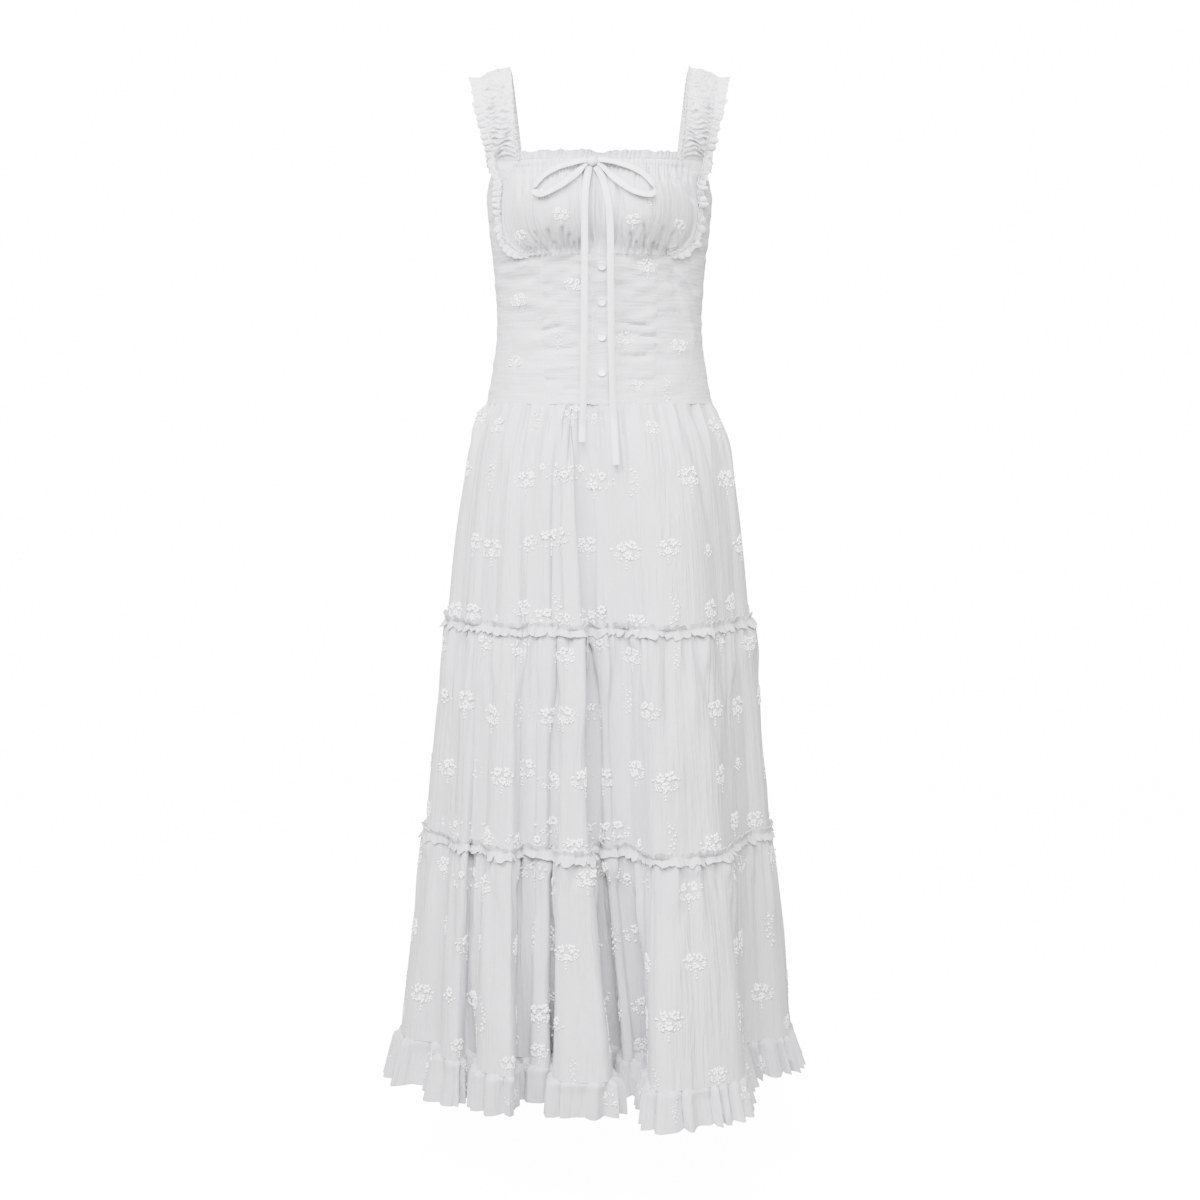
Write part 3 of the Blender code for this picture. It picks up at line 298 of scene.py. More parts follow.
# Bodice seams
PRINCESS_SEAM = [
    # x, z down the seam between the centre and side panels
    (0.0720, -0.2424),
    (0.0715, -0.2620),
    (0.0708, -0.2950),
    (0.0698, -0.3380),
    (0.0685, -0.3850),
    (0.0670, WAIST_SEAM_Z),
]
ARMHOLE = [
    # degrees round from the front, height
    (61.5, NECK_Z),
    (67.0, -0.1370),
    (76.0, -0.1540),
    (90.0, UNDERARM_Z),
]
SIDE_SEAM_Z = [-0.1900, -0.2080, -0.2250, -0.2400, -0.2480, -0.2660, -0.2980, -0.3400, -0.3860, WAIST_SEAM_Z]
STRAP_OUTER_X = 0.133
BACK_ARMHOLE_DEG = 30.0

# The straps' edges over the shoulder, from the front neckline to the back
STRAP_EDGES = [
    # inner x, y, z, outer x, y, z
    (0.1085, -0.0800, -0.0850, 0.1390, -0.0600, -0.0880),
    (0.1130, -0.0670, -0.0400, 0.1460, -0.0540, -0.0480),
    (0.1175, -0.0350, -0.0060, 0.1510, -0.0310, -0.0170),
    (0.1200, 0.0020, 0.0030, 0.1530, 0.0020, -0.0080),
    (0.1175, 0.0380, -0.0060, 0.1505, 0.0340, -0.0170),
    (0.1130, 0.0640, -0.0400, 0.1450, 0.0500, -0.0480),
    (0.1075, 0.0740, -0.0850, 0.1380, 0.0555, -0.0890),
]
CUP_RUFFLE_ROUTE = [
    # x, z down the bodice beside the cup
    (0.1310, -0.1290),
    (0.1270, -0.1400),
    (0.1240, -0.1560),
    (0.1248, -0.1780),
    (0.1248, -0.2010),
    (0.1192, -0.2208),
    (0.1068, -0.2350),
    (0.0880, -0.2438),
]

# Placket and buttons
PLACKET_HALF_WIDTH = 0.0110
BUTTON_X = 0.0030
BUTTON_Z = [-0.2570, -0.3020, -0.3470, -0.3920]
BUTTON_RADIUS = 0.0055
BUTTON_THICKNESS = 0.0024

# The drawstring's flat ties
TIE_WIDTH = 0.0085
TIE_THICKNESS = 0.0012
KNOT_X = -0.0090
KNOT_Z = -0.1275
KNOT_RADII = (0.0072, 0.0056, 0.0056)
KNOT_STANDS_OFF = 0.0068
TAIL_STANDS_OFF = 0.0052
LOOP_STANDS_OFF = 0.0085
GATHER_DEPTH = 0.0036
TAIL_RIGHT = [
    # x, z down the tie at the dress's right
    (-0.0132, -0.1338),
    (-0.0175, -0.1650),
    (-0.0185, -0.2400),
    (-0.0190, -0.3300),
    (-0.0198, -0.4100),
    (-0.0215, -0.4780),
]
TAIL_LEFT = [
    (-0.0040, -0.1338),
    (0.0040, -0.1500),
    (0.0120, -0.1900),
    (0.0140, -0.2800),
    (0.0155, -0.3900),
    (0.0205, -0.5060),
]
LOOP_RIGHT = [
    # x, z round the loop at the wearer's right, from the knot and back
    (-0.0170, -0.1252),
    (-0.0330, -0.1290),
    (-0.0560, -0.1370),
    (-0.0740, -0.1500),
    (-0.0815, -0.1640),
    (-0.0740, -0.1705),
    (-0.0560, -0.1640),
    (-0.0330, -0.1470),
    (-0.0172, -0.1298),
]
LOOP_LEFT = [
    (-0.0010, -0.1247),
    (0.0150, -0.1270),
    (0.0380, -0.1340),
    (0.0560, -0.1450),
    (0.0670, -0.1600),
    (0.0655, -0.1700),
    (0.0480, -0.1690),
    (0.0270, -0.1560),
    (-0.0009, -0.1292),
]

# Rows of embroidered sprigs down the skirt
SPRIG_ROWS = [
    # piece, height, sprigs all round, where the first one lies, size
    ("upper_tier", -0.450, 17, 0.010, 0.90),
    ("upper_tier", -0.520, 22, 0.022, 1.15),
    ("upper_tier", -0.602, 25, 0.000, 1.20),
    ("upper_tier", -0.690, 32, 0.018, 1.15),
    ("middle_tier", -0.731, 28, 0.006, 1.05),
    ("middle_tier", -0.806, 30, 0.016, 1.20),
    ("middle_tier", -0.886, 31, 0.000, 1.20),
    ("middle_tier", -0.957, 38, 0.012, 1.15),
    ("lower_tier", -1.008, 36, 0.004, 1.20),
    ("lower_tier", -1.090, 40, 0.014, 1.20),
    ("lower_tier", -1.164, 42, 0.000, 1.25),
    ("lower_tier", -1.214, 44, 0.010, 0.90),
    ("hem_ruffle", -1.257, 40, 0.006, 0.80),
]
BODICE_SPRIGS = [
    # x, z, size on the front
    (-0.0330, -0.2800, 0.85),
    (0.0600, -0.2560, 0.95),
    (-0.1020, -0.2980, 0.90),
    (-0.0520, -0.3530, 0.95),
    (0.0330, -0.3470, 0.90),
    (-0.1080, -0.3760, 0.80),
    (0.1010, -0.3560, 0.85),
    (0.0850, -0.4130, 0.95),
    (0.0480, -0.4080, 0.70),
    (-0.0760, -0.1700, 0.70),
    (-0.0480, -0.1950, 0.80),
    (0.0630, -0.1750, 0.75),
    (0.0420, -0.2010, 0.70),
    (0.1000, -0.2050, 0.65),
    (-0.1000, -0.2180, 0.65),
]


def smooth_rows(heights, values, z):
    """Values at the heights z, on a smooth curve through the rows of a table sorted downwards."""
    x = -np.asarray(heights, float)
    v = np.asarray(values, float)
    at = np.clip(-np.asarray(z, float), x[0], x[-1])
    slope = np.gradient(v, x, axis=0)
    i = np.clip(np.searchsorted(x, at, side="right") - 1, 0, len(x) - 2)
    h = x[i + 1] - x[i]
    t = (at - x[i]) / h
    if v.ndim > 1:
        h = h[..., None]
        t = t[..., None]
    return (
        (2 * t**3 - 3 * t**2 + 1) * v[i]
        + (t**3 - 2 * t**2 + t) * h * slope[i]
        + (3 * t**2 - 2 * t**3) * v[i + 1]
        + (t**3 - t**2) * h * slope[i + 1]
    )


def smoothstep(t):
    t = np.clip(t, 0.0, 1.0)
    return t * t * (3 - 2 * t)


def unit(v):
    return v / np.maximum(np.linalg.norm(v, axis=-1, keepdims=True), 1e-12)


def through(points, count):
    """The number of points asked for, evenly spaced on a smooth open curve through the given ones."""
    p = np.asarray(points, float)
    along = np.concatenate([[0.0], np.cumsum(np.linalg.norm(np.diff(p, axis=0), axis=1) ** 0.5)])
    fine = np.linspace(0.0, along[-1], 40 * len(p))
    line = smooth_rows(-along, p, -fine)
    length = np.concatenate([[0.0], np.cumsum(np.linalg.norm(np.diff(line, axis=0), axis=1))])
    at = np.linspace(0.0, length[-1], count)
    return np.stack([np.interp(at, length, line[:, k]) for k in range(p.shape[1])], axis=1)


def hem_outline():
    """The folded plan of the skirt at the ruffle seam, evenly spaced, and the share where the channel lies."""
    points = []
    for _, crest_x, crest_y, crest_width, valley_x, valley_y, valley_width in HEM_FOLDS:
        for x, y, width, bulge in ((crest_x, crest_y, crest_width, 0.10), (valley_x, valley_y, valley_width, -0.25)):
            place = np.array([x, y])
            outward = place / np.linalg.norm(place)
            along = np.array([-outward[1], outward[0]])
            points += [place - along * width / 2, place + outward * width * bulge, place + along * width / 2]
    valley = 6 * CHANNEL_FOLD + 4
    wrapped = points[-6:] + points + points[:7]
    p = np.asarray(wrapped)
    along = np.concatenate([[0.0], np.cumsum(np.linalg.norm(np.diff(p, axis=0), axis=1) ** 0.5)])
    start, end = along[6], along[6 + len(points)]
    fine = np.linspace(start, end, 12 * CURVE_SAMPLES)
    line = smooth_rows(-along, p, -fine)
    length = np.concatenate([[0.0], np.cumsum(np.linalg.norm(np.diff(line, axis=0), axis=1))])
    channel = float(np.interp(along[6 + valley], fine, length)) / length[-1]
    at = np.linspace(0.0, length[-1], CURVE_SAMPLES + 1)
    return np.stack([np.interp(at, length, line[:, k]) for k in (0, 1)], axis=1), channel


HEM_LINE, CHANNEL_SHARE = hem_outline()


def waist_angles():
    """The angle at the waist seam for each share of the way round: the hem's own, evened out, with a lean."""
    share = np.arange(CURVE_SAMPLES) / CURVE_SAMPLES
    x, y = HEM_LINE[:-1, 0], HEM_LINE[:-1, 1]
    hem = np.unwrap(np.arctan2(x, -y))
    waves = np.fft.rfft(hem - 2 * math.pi * share)
    waves[4:] = 0.0
    angle = 2 * math.pi * share + np.fft.irfft(waves, CURVE_SAMPLES)
    away = np.mod(share - CHANNEL_SHARE + 0.5, 1.0) - 0.5
    angle = angle - math.radians(CHANNEL_LEAN_DEG) * np.exp(-((away / CHANNEL_LEAN_SPREAD) ** 2))
    return np.append(angle, angle[0] + 2 * math.pi)


WAIST_ANGLES = waist_angles()


def skirt_angle(share):
    """The angle at the waist seam of a share of the way round the folded cloth."""
    turns = np.floor(share)
    stations = np.arange(CURVE_SAMPLES + 1) / CURVE_SAMPLES
    return np.interp(share - turns, stations, WAIST_ANGLES) + 2 * math.pi * turns


def section(z):
    """Half width, front depth, back depth and fold share at the heights z."""
    table = np.array(SECTIONS)
    rows = smooth_rows(table[:, 0], table[:, 1:], z)
    return rows[..., 0], rows[..., 1], rows[..., 2], np.clip(rows[..., 3], 0.0, 1.1)


def oval(angle, z):
    """Points on the plain cross-section, angle in radians round from the front towards +X."""
    half, front, back, _ = section(z)
    s, c = np.sin(angle), np.cos(angle)
    power = 2.0 / SECTION_POWER
    x = half * np.sign(s) * np.abs(s) ** power
    y = -np.where(c >= 0, front, back) * np.sign(c) * np.abs(c) ** power
    return x, y


def angle_at(x, z):
    """The angle round the section at a half-breadth x on the front."""
    half = section(z)[0]
    return np.sign(x) * np.arcsin(np.clip(np.abs(x) / half, 0, 1) ** (SECTION_POWER / 2.0))


def cup_rise(x, z):
    """How far a cup lifts the front of the bodice."""
    across = (np.abs(x) - CUP_CENTRE_X) / CUP_HALF_WIDTH
    down = (z - CUP_CENTRE_Z) / CUP_HALF_HEIGHT
    return CUP_DEPTH * np.clip(1 - across**2 - down**2, 0, 1) ** 1.5


def bodice_point(angle, z):
    """The bodice's outer surface without gathers."""
    angle, z = np.broadcast_arrays(np.asarray(angle, float), np.asarray(z, float))
    x, y = oval(angle, z)
    y = y - np.where(np.cos(angle) > 0, cup_rise(x, z), 0.0)
    return np.stack([x, y, z], axis=-1)


def skirt_point(share, z):
    """The skirt's outer surface: an oval at the waist that turns into the folded plan at the hem."""
    share, z = np.broadcast_arrays(np.asarray(share, float), np.asarray(z, float))
    half, front, back, folded = section(z)
    x, y = oval(skirt_angle(share), z)
    at = np.mod(share, 1.0) * CURVE_SAMPLES
    stations = np.arange(CURVE_SAMPLES + 1)
    fold_x = np.interp(at, stations, HEM_LINE[:, 0]) * half / HEM_HALF_WIDTH
    fold_y = np.interp(at, stations, HEM_LINE[:, 1])
    fold_y = fold_y * np.where(fold_y < 0, front / HEM_FRONT, back / HEM_BACK)
    return np.stack([(1 - folded) * x + folded * fold_x, (1 - folded) * y + folded * fold_y, z], axis=-1)


def normals(surface, u, z, step_u, level=False):
    """Outward unit normals of a surface(u, z) by small steps; level ones have no upward part."""
    across = surface(u + step_u, z) - surface(u - step_u, z)
    down = surface(u, z - STEP) - surface(u, z + STEP)
    n = np.cross(down, across)
    if level:
        n[..., 2] = 0.0
    return unit(n)


def mirrored(points, side):
    """Points made for the +X side, on the side asked for, with their columns still running the same way."""
    moved = points * np.array([side, 1.0, 1.0])
    return moved if side > 0 else moved[:, ::-1]


# Cloth as a mesh


def grid_normals(points, round_it):
    """Outward unit normals of a grid, rows down and columns to the dress's left across the front."""
    if round_it:
        across = np.roll(points, -1, axis=1) - np.roll(points, 1, axis=1)
    else:
        across = np.gradient(points, axis=1)
    return unit(np.cross(np.gradient(points, axis=0), across))


def grid_uv(points, round_it):
    """Each grid point's place on the flat cloth in metres, with the first column again at the end of a tube."""
    wide = np.concatenate([points, points[:, :1]], axis=1) if round_it else points
    across = np.linalg.norm(np.diff(wide, axis=1), axis=-1).mean(axis=0)
    down = np.linalg.norm(np.diff(wide, axis=0), axis=-1).mean(axis=1)
    u = np.concatenate([[0.0], np.cumsum(across)])
    v = -np.concatenate([[0.0], np.cumsum(down)])
    return np.stack(np.broadcast_arrays(u[None, :], v[:, None]), axis=-1)


def cloth_shell(name, outer, material, round_it=False, thickness=0.0007, normal=None):
    """A closed thin wall under a grid of points; thickness is one number or one for each row."""
    rows, columns = outer.shape[:2]
    n = grid_normals(outer, round_it) if normal is None else normal
    depth = np.broadcast_to(np.asarray(thickness, float).reshape(-1, 1, 1), (rows, 1, 1))
    points = np.concatenate([outer.reshape(-1, 3), (outer - n * depth).reshape(-1, 3)])
    steps = columns if round_it else columns - 1
    i, j = np.meshgrid(np.arange(rows - 1), np.arange(steps), indexing="ij")
    k = (j + 1) % columns
    a, b, c, d = (x.ravel() for x in (i * columns + j, (i + 1) * columns + j, (i + 1) * columns + k, i * columns + k))
    ua, ub, uc, ud = (x.ravel() for x in (i * (steps + 1) + j, (i + 1) * (steps + 1) + j,
                                          (i + 1) * (steps + 1) + j + 1, i * (steps + 1) + j + 1))
    under = rows * columns
    faces = [np.stack([a, b, c, d], 1), np.stack([a, d, c, b], 1) + under]
    flat = [np.stack([ua, ub, uc, ud], 1), np.stack([ua, ud, uc, ub], 1)]
    top, low = i.ravel() == 0, i.ravel() == rows - 2
    faces += [np.stack([a, d, d + under, a + under], 1)[top], np.stack([c, b, b + under, c + under], 1)[low]]
    flat += [np.stack([ua, ud, ud, ua], 1)[top], np.stack([uc, ub, ub, uc], 1)[low]]
    if not round_it:
        left, right = j.ravel() == 0, j.ravel() == steps - 1
        faces += [np.stack([b, a, a + under, b + under], 1)[left], np.stack([d, c, c + under, d + under], 1)[right]]
        flat += [np.stack([ub, ua, ua, ub], 1)[left], np.stack([ud, uc, uc, ud], 1)[right]]
    uv = grid_uv(outer, round_it).reshape(-1, 2)
    return add_mesh(name, points, np.concatenate(faces), material, uv[np.concatenate(flat).ravel()])


def add_mesh(name, points, faces, material, loop_uv=None):
    data = bpy.data.meshes.new(name)
    data.from_pydata(np.asarray(points).tolist(), [], [list(map(int, f)) for f in faces])
    if loop_uv is not None:
        layer = data.uv_layers.new(name="UVMap")
        layer.data.foreach_set("uv", np.asarray(loop_uv, np.float32).ravel())
    data.shade_smooth()
    data.set_sharp_from_angle(angle=math.radians(70))
    return add_object(name, data, material)


def add_object(name, data, material):
    data.materials.clear()
    data.materials.append(material)
    obj = bpy.data.objects.new(name, data)
    bpy.context.scene.collection.objects.link(obj)
    return obj


def stands_for(obj, *nodes, slot="cotton"):
    """The piece rides on the one body and hides the plain solids it stands for; its slot is not used."""
    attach(obj, "root")
    if nodes:
        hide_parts(*nodes)
    return obj


def strip_mesh(path, widthways, width, thickness, rounding=0.35):
    """Points and faces of a flat closed tape along a path."""
    along = unit(np.gradient(path, axis=0))
    wide = unit(widthways - along * np.sum(widthways * along, axis=1, keepdims=True))
    thick = np.cross(along, wide)
    half, deep = width / 2, thickness / 2
    corner = half - deep * 1.2
    ring = np.array([(-half, 0), (-corner, deep), (0, deep * (1 + rounding)), (corner, deep),
                     (half, 0), (corner, -deep), (0, -deep * (1 - rounding)), (-corner, -deep)])
    points = path[:, None] + wide[:, None] * ring[None, :, :1] + thick[:, None] * ring[None, :, 1:]
    return tube_faces(points)


def tube_faces(rings):
    """Points and faces of a closed tube through rings of points, its ends closed by flat faces."""
    rows, count = rings.shape[:2]
    faces = []
    for i in range(rows - 1):
        for j in range(count):
            k = (j + 1) % count
            faces.append((i * count + j, (i + 1) * count + j, (i + 1) * count + k, i * count + k))
    faces.append(tuple(range(count)))
    faces.append(tuple((rows - 1) * count + j for j in reversed(range(count))))
    return rings.reshape(-1, 3), faces


def outward(data):
    """Turns every face of a closed mesh outwards."""
    mesh = bmesh.new()
    mesh.from_mesh(data)
    bmesh.ops.recalc_face_normals(mesh, faces=mesh.faces)
    mesh.to_mesh(data)
    mesh.free()


def closed_piece(name, parts, material):
    """One piece from several closed shapes, each given as points and faces."""
    points, faces, start = [], [], 0
    for p, f in parts:
        points.append(np.asarray(p))
        faces += [tuple(int(i) + start for i in face) for face in f]
        start += len(p)
    data = bpy.data.meshes.new(name)
    data.from_pydata(np.concatenate(points).tolist(), [], faces)
    outward(data)
    data.shade_smooth()
    data.set_sharp_from_angle(angle=math.radians(60))
    return add_object(name, data, material)


# Materials


def input_of(tree, name, kind, value=None):
    socket = tree.interface.new_socket(name, in_out="INPUT", socket_type=kind)
    if value is not None:
        socket.default_value = value
    return socket


def math_node(tree, operation, first, second=None, third=None):
    """A Math node whose inputs are sockets or numbers; gives its output."""
    node = tree.nodes.new("ShaderNodeMath")
    node.operation = operation
    for place, value in enumerate((first, second, third)):
        if value is None:
            continue
        if isinstance(value, bpy.types.NodeSocket):
            tree.links.new(value, node.inputs[place])
        else:
            node.inputs[place].default_value = value
    return node.outputs[0]


def weave_group():
    """Plain weave with thicker threads here and there, from the cloth's own flat coordinates."""
    tree = bpy.data.node_groups.new("Plain weave", "ShaderNodeTree")
    input_of(tree, "Cloth", "NodeSocketVector")
    input_of(tree, "Threads per metre", "NodeSocketFloat", 1600.0)
    tree.interface.new_socket("Height", in_out="OUTPUT", socket_type="NodeSocketFloat")
    tree.interface.new_socket("Tint", in_out="OUTPUT", socket_type="NodeSocketFloat")
    start = tree.nodes.new("NodeGroupInput")
    end = tree.nodes.new("NodeGroupOutput")
    split = tree.nodes.new("ShaderNodeSeparateXYZ")
    tree.links.new(start.outputs["Cloth"], split.inputs[0])
    turns = math_node(tree, "MULTIPLY", start.outputs["Threads per metre"], math.pi)
    waves = []
    for axis in (0, 1):
        phase = math_node(tree, "MULTIPLY", split.outputs[axis], turns)
        waves.append(math_node(tree, "SINE", phase))
    weave = math_node(tree, "MULTIPLY", waves[0], waves[1])
    weave = math_node(tree, "ABSOLUTE", weave)
    slub = tree.nodes.new("ShaderNodeTexNoise")
    slub.inputs["Scale"].default_value = 1.0
    slub.inputs["Detail"].default_value = 2.0
    stretch = tree.nodes.new("ShaderNodeVectorMath")
    stretch.operation = "MULTIPLY"
    stretch.inputs[1].default_value = (90.0, 900.0, 1.0)
    tree.links.new(start.outputs["Cloth"], stretch.inputs[0])
    tree.links.new(stretch.outputs[0], slub.inputs["Vector"])
    height = math_node(tree, "ADD", math_node(tree, "MULTIPLY", weave, 0.55), slub.outputs["Fac"])
    tree.links.new(height, end.inputs["Height"])
    tree.links.new(slub.outputs["Fac"], end.inputs["Tint"])
    return tree


def crumple_group():
    """Soft creases left by wear and washing: broad ones and a finer crinkle."""
    tree = bpy.data.node_groups.new("Soft crumple", "ShaderNodeTree")
    input_of(tree, "Place", "NodeSocketVector")
    input_of(tree, "Scale", "NodeSocketFloat", 26.0)
    tree.interface.new_socket("Height", in_out="OUTPUT", socket_type="NodeSocketFloat")
    start = tree.nodes.new("NodeGroupInput")
    end = tree.nodes.new("NodeGroupOutput")
    stretch = tree.nodes.new("ShaderNodeVectorMath")
    stretch.operation = "MULTIPLY"
    stretch.inputs[1].default_value = (1.0, 1.0, 0.45)
    tree.links.new(start.outputs["Place"], stretch.inputs[0])
    heights = []
    for share, detail, rough in ((1.0, 4.0, 0.55), (3.4, 3.0, 0.6)):
        noise = tree.nodes.new("ShaderNodeTexNoise")
        noise.inputs["Detail"].default_value = detail
        noise.inputs["Roughness"].default_value = rough
        noise.inputs["Distortion"].default_value = 0.6
        tree.links.new(stretch.outputs[0], noise.inputs["Vector"])
        tree.links.new(math_node(tree, "MULTIPLY", start.outputs["Scale"], share), noise.inputs["Scale"])
        heights.append(noise.outputs["Fac"])
    total = math_node(tree, "MULTIPLY_ADD", heights[1], 0.35, heights[0])
    tree.links.new(total, end.inputs["Height"])
    return tree


def crinkle_group():
    """Fine long crinkles that come and go over the cloth; Pitch sets how close they lie across and down."""
    tree = bpy.data.node_groups.new("Long crinkle", "ShaderNodeTree")
    input_of(tree, "Cloth", "NodeSocketVector")
    input_of(tree, "Pitch", "NodeSocketVector")
    tree.interface.new_socket("Height", in_out="OUTPUT", socket_type="NodeSocketFloat")
    start = tree.nodes.new("NodeGroupInput")
    end = tree.nodes.new("NodeGroupOutput")
    scaled = tree.nodes.new("ShaderNodeVectorMath")
    scaled.operation = "MULTIPLY"
    tree.links.new(start.outputs["Cloth"], scaled.inputs[0])
    tree.links.new(start.outputs["Pitch"], scaled.inputs[1])
    heights = []
    for share in (1.0, 0.36, 0.10):
        noise = tree.nodes.new("ShaderNodeTexNoise")
        noise.inputs["Scale"].default_value = share
        noise.inputs["Detail"].default_value = 3.0
        noise.inputs["Distortion"].default_value = 0.7
        tree.links.new(scaled.outputs[0], noise.inputs["Vector"])
        heights.append(noise.outputs["Fac"])
    total = math_node(tree, "MULTIPLY_ADD", heights[1], 1.6, heights[0])
    strength = math_node(tree, "MULTIPLY_ADD", heights[2], 2.4, -0.5)
    tree.links.new(math_node(tree, "MULTIPLY", total, strength), end.inputs["Height"])
    return tree


def shared_group(name, maker):
    return bpy.data.node_groups.get(name) or maker()


def cotton_material(name, colour, shade, crumple, crinkle, pitch, threads, rough=0.88):
    """White cotton: woven bump, soft crumple, long crinkles, slightly uneven colour and a faint sheen."""
    found = bpy.data.materials.get(name)
    if found:
        return found
    material = bpy.data.materials.new(name)
    material.use_nodes = True
    tree = material.node_tree
    shader = tree.nodes["Principled BSDF"]
    shader.inputs["Roughness"].default_value = rough
    shader.inputs["Sheen Weight"].default_value = 0.25
    shader.inputs["Sheen Roughness"].default_value = 0.5
    shader.inputs["Specular IOR Level"].default_value = 0.25
    place = tree.nodes.new("ShaderNodeTexCoord")
    weave = tree.nodes.new("ShaderNodeGroup")
    weave.node_tree = shared_group("Plain weave", weave_group)
    weave.inputs["Threads per metre"].default_value = threads
    tree.links.new(place.outputs["UV"], weave.inputs["Cloth"])
    folds = tree.nodes.new("ShaderNodeGroup")
    folds.node_tree = shared_group("Soft crumple", crumple_group)
    tree.links.new(place.outputs["Object"], folds.inputs["Place"])
    tint = tree.nodes.new("ShaderNodeMix")
    tint.data_type = "RGBA"
    tint.inputs["A"].default_value = shade
    tint.inputs["B"].default_value = colour
    tree.links.new(weave.outputs["Tint"], tint.inputs["Factor"])
    tree.links.new(tint.outputs["Result"], shader.inputs["Base Color"])
    soft = tree.nodes.new("ShaderNodeBump")
    soft.inputs["Strength"].default_value = 1.0
    soft.inputs["Distance"].default_value = crumple
    tree.links.new(folds.outputs["Height"], soft.inputs["Height"])
    lines = tree.nodes.new("ShaderNodeGroup")
    lines.node_tree = shared_group("Long crinkle", crinkle_group)
    lines.inputs["Pitch"].default_value = pitch
    tree.links.new(place.outputs["UV"], lines.inputs["Cloth"])
    upright = tree.nodes.new("ShaderNodeBump")
    upright.inputs["Strength"].default_value = 1.0
    upright.inputs["Distance"].default_value = crinkle
    tree.links.new(lines.outputs["Height"], upright.inputs["Height"])
    tree.links.new(soft.outputs["Normal"], upright.inputs["Normal"])
    fine = tree.nodes.new("ShaderNodeBump")
    fine.inputs["Strength"].default_value = 0.6
    fine.inputs["Distance"].default_value = 0.00018
    tree.links.new(weave.outputs["Height"], fine.inputs["Height"])
    tree.links.new(upright.outputs["Normal"], fine.inputs["Normal"])
    tree.links.new(fine.outputs["Normal"], shader.inputs["Normal"])
    return material


def cloth():
    look = bpy.context.scene.dress_looks
    return cotton_material("bodice_cotton", look.cotton, look.cotton_shade, 0.0030, 0.0012, (34.0, 260.0, 1.0), 1500.0)


def crinkled():
    look = bpy.context.scene.dress_looks
    return cotton_material("skirt_cotton", look.cotton, look.cotton_shade, 0.0026, 0.0024, (230.0, 15.0, 1.0), 1500.0)


def lacy():
    look = bpy.context.scene.dress_looks
    return cotton_material("strap_cotton", look.strap, look.cotton, 0.0050, 0.0026, (280.0, 280.0, 1.0), 1300.0)


def tape():
    look = bpy.context.scene.dress_looks
    return cotton_material("tie_cotton", look.strap, look.cotton, 0.0004, 0.0001, (60.0, 60.0, 1.0), 1800.0)


def thread_material():
    """Embroidery and sewing thread: a little brighter and smoother than the cloth, with fine twist."""
    name = "white_thread"
    found = bpy.data.materials.get(name)
    if found:
        return found
    look = bpy.context.scene.dress_looks
    material = bpy.data.materials.new(name)
    material.use_nodes = True
    tree = material.node_tree
    shader = tree.nodes["Principled BSDF"]
    shader.inputs["Roughness"].default_value = 0.45
    shader.inputs["Specular IOR Level"].default_value = 0.8
    shader.inputs["Sheen Weight"].default_value = 0.5
    place = tree.nodes.new("ShaderNodeTexCoord")
    twist = tree.nodes.new("ShaderNodeTexNoise")
    twist.inputs["Scale"].default_value = 1400.0
    twist.inputs["Detail"].default_value = 2.0
    tree.links.new(place.outputs["Object"], twist.inputs["Vector"])
    tint = tree.nodes.new("ShaderNodeMix")
    tint.data_type = "RGBA"
    tint.inputs["A"].default_value = tuple(0.95 * c for c in look.thread[:3]) + (1.0,)
    tint.inputs["B"].default_value = look.thread
    tree.links.new(twist.outputs["Fac"], tint.inputs["Factor"])
    tree.links.new(tint.outputs["Result"], shader.inputs["Base Color"])
    bump = tree.nodes.new("ShaderNodeBump")
    bump.inputs["Strength"].default_value = 0.5
    bump.inputs["Distance"].default_value = 0.0003
    tree.links.new(twist.outputs["Fac"], bump.inputs["Height"])
    tree.links.new(bump.outputs["Normal"], shader.inputs["Normal"])
    return material


def button_material():
    """Pale bluish shell button, glossy, with soft clouds of colour."""
    look = bpy.context.scene.dress_looks
    material = bpy.data.materials.new("shell_button")
    material.use_nodes = True
    tree = material.node_tree
    shader = tree.nodes["Principled BSDF"]
    shader.inputs["Coat Weight"].default_value = 0.5
    shader.inputs["Coat Roughness"].default_value = 0.1
    place = tree.nodes.new("ShaderNodeTexCoord")
    cloud = tree.nodes.new("ShaderNodeTexNoise")
    cloud.inputs["Scale"].default_value = 260.0
    cloud.inputs["Detail"].default_value = 3.0
    cloud.inputs["Distortion"].default_value = 1.2
    tree.links.new(place.outputs["Object"], cloud.inputs["Vector"])
    tint = tree.nodes.new("ShaderNodeMix")
    tint.data_type = "RGBA"
    tint.inputs["A"].default_value = tuple(0.88 * c for c in look.button[:3]) + (1.0,)
    tint.inputs["B"].default_value = look.button
    tree.links.new(cloud.outputs["Fac"], tint.inputs["Factor"])
    tree.links.new(tint.outputs["Result"], shader.inputs["Base Color"])
    gloss = tree.nodes.new("ShaderNodeMapRange")
    gloss.inputs["To Min"].default_value = 0.18
    gloss.inputs["To Max"].default_value = 0.32
    tree.links.new(cloud.outputs["Fac"], gloss.inputs["Value"])
    tree.links.new(gloss.outputs["Result"], shader.inputs["Roughness"])
    return material


# Skirt


def wobble(share, seed, waves=9, size=1.0):
    """A smooth uneven value round the skirt, from a few slow waves."""
    random = np.random.default_rng(seed)
    total = np.zeros_like(share)
    for m in range(2, 2 + waves):
        total = total + random.normal() * np.cos(2 * math.pi * (m * 1.7 // 1 * share + random.random())) / m**0.5
    return size * total / waves**0.5


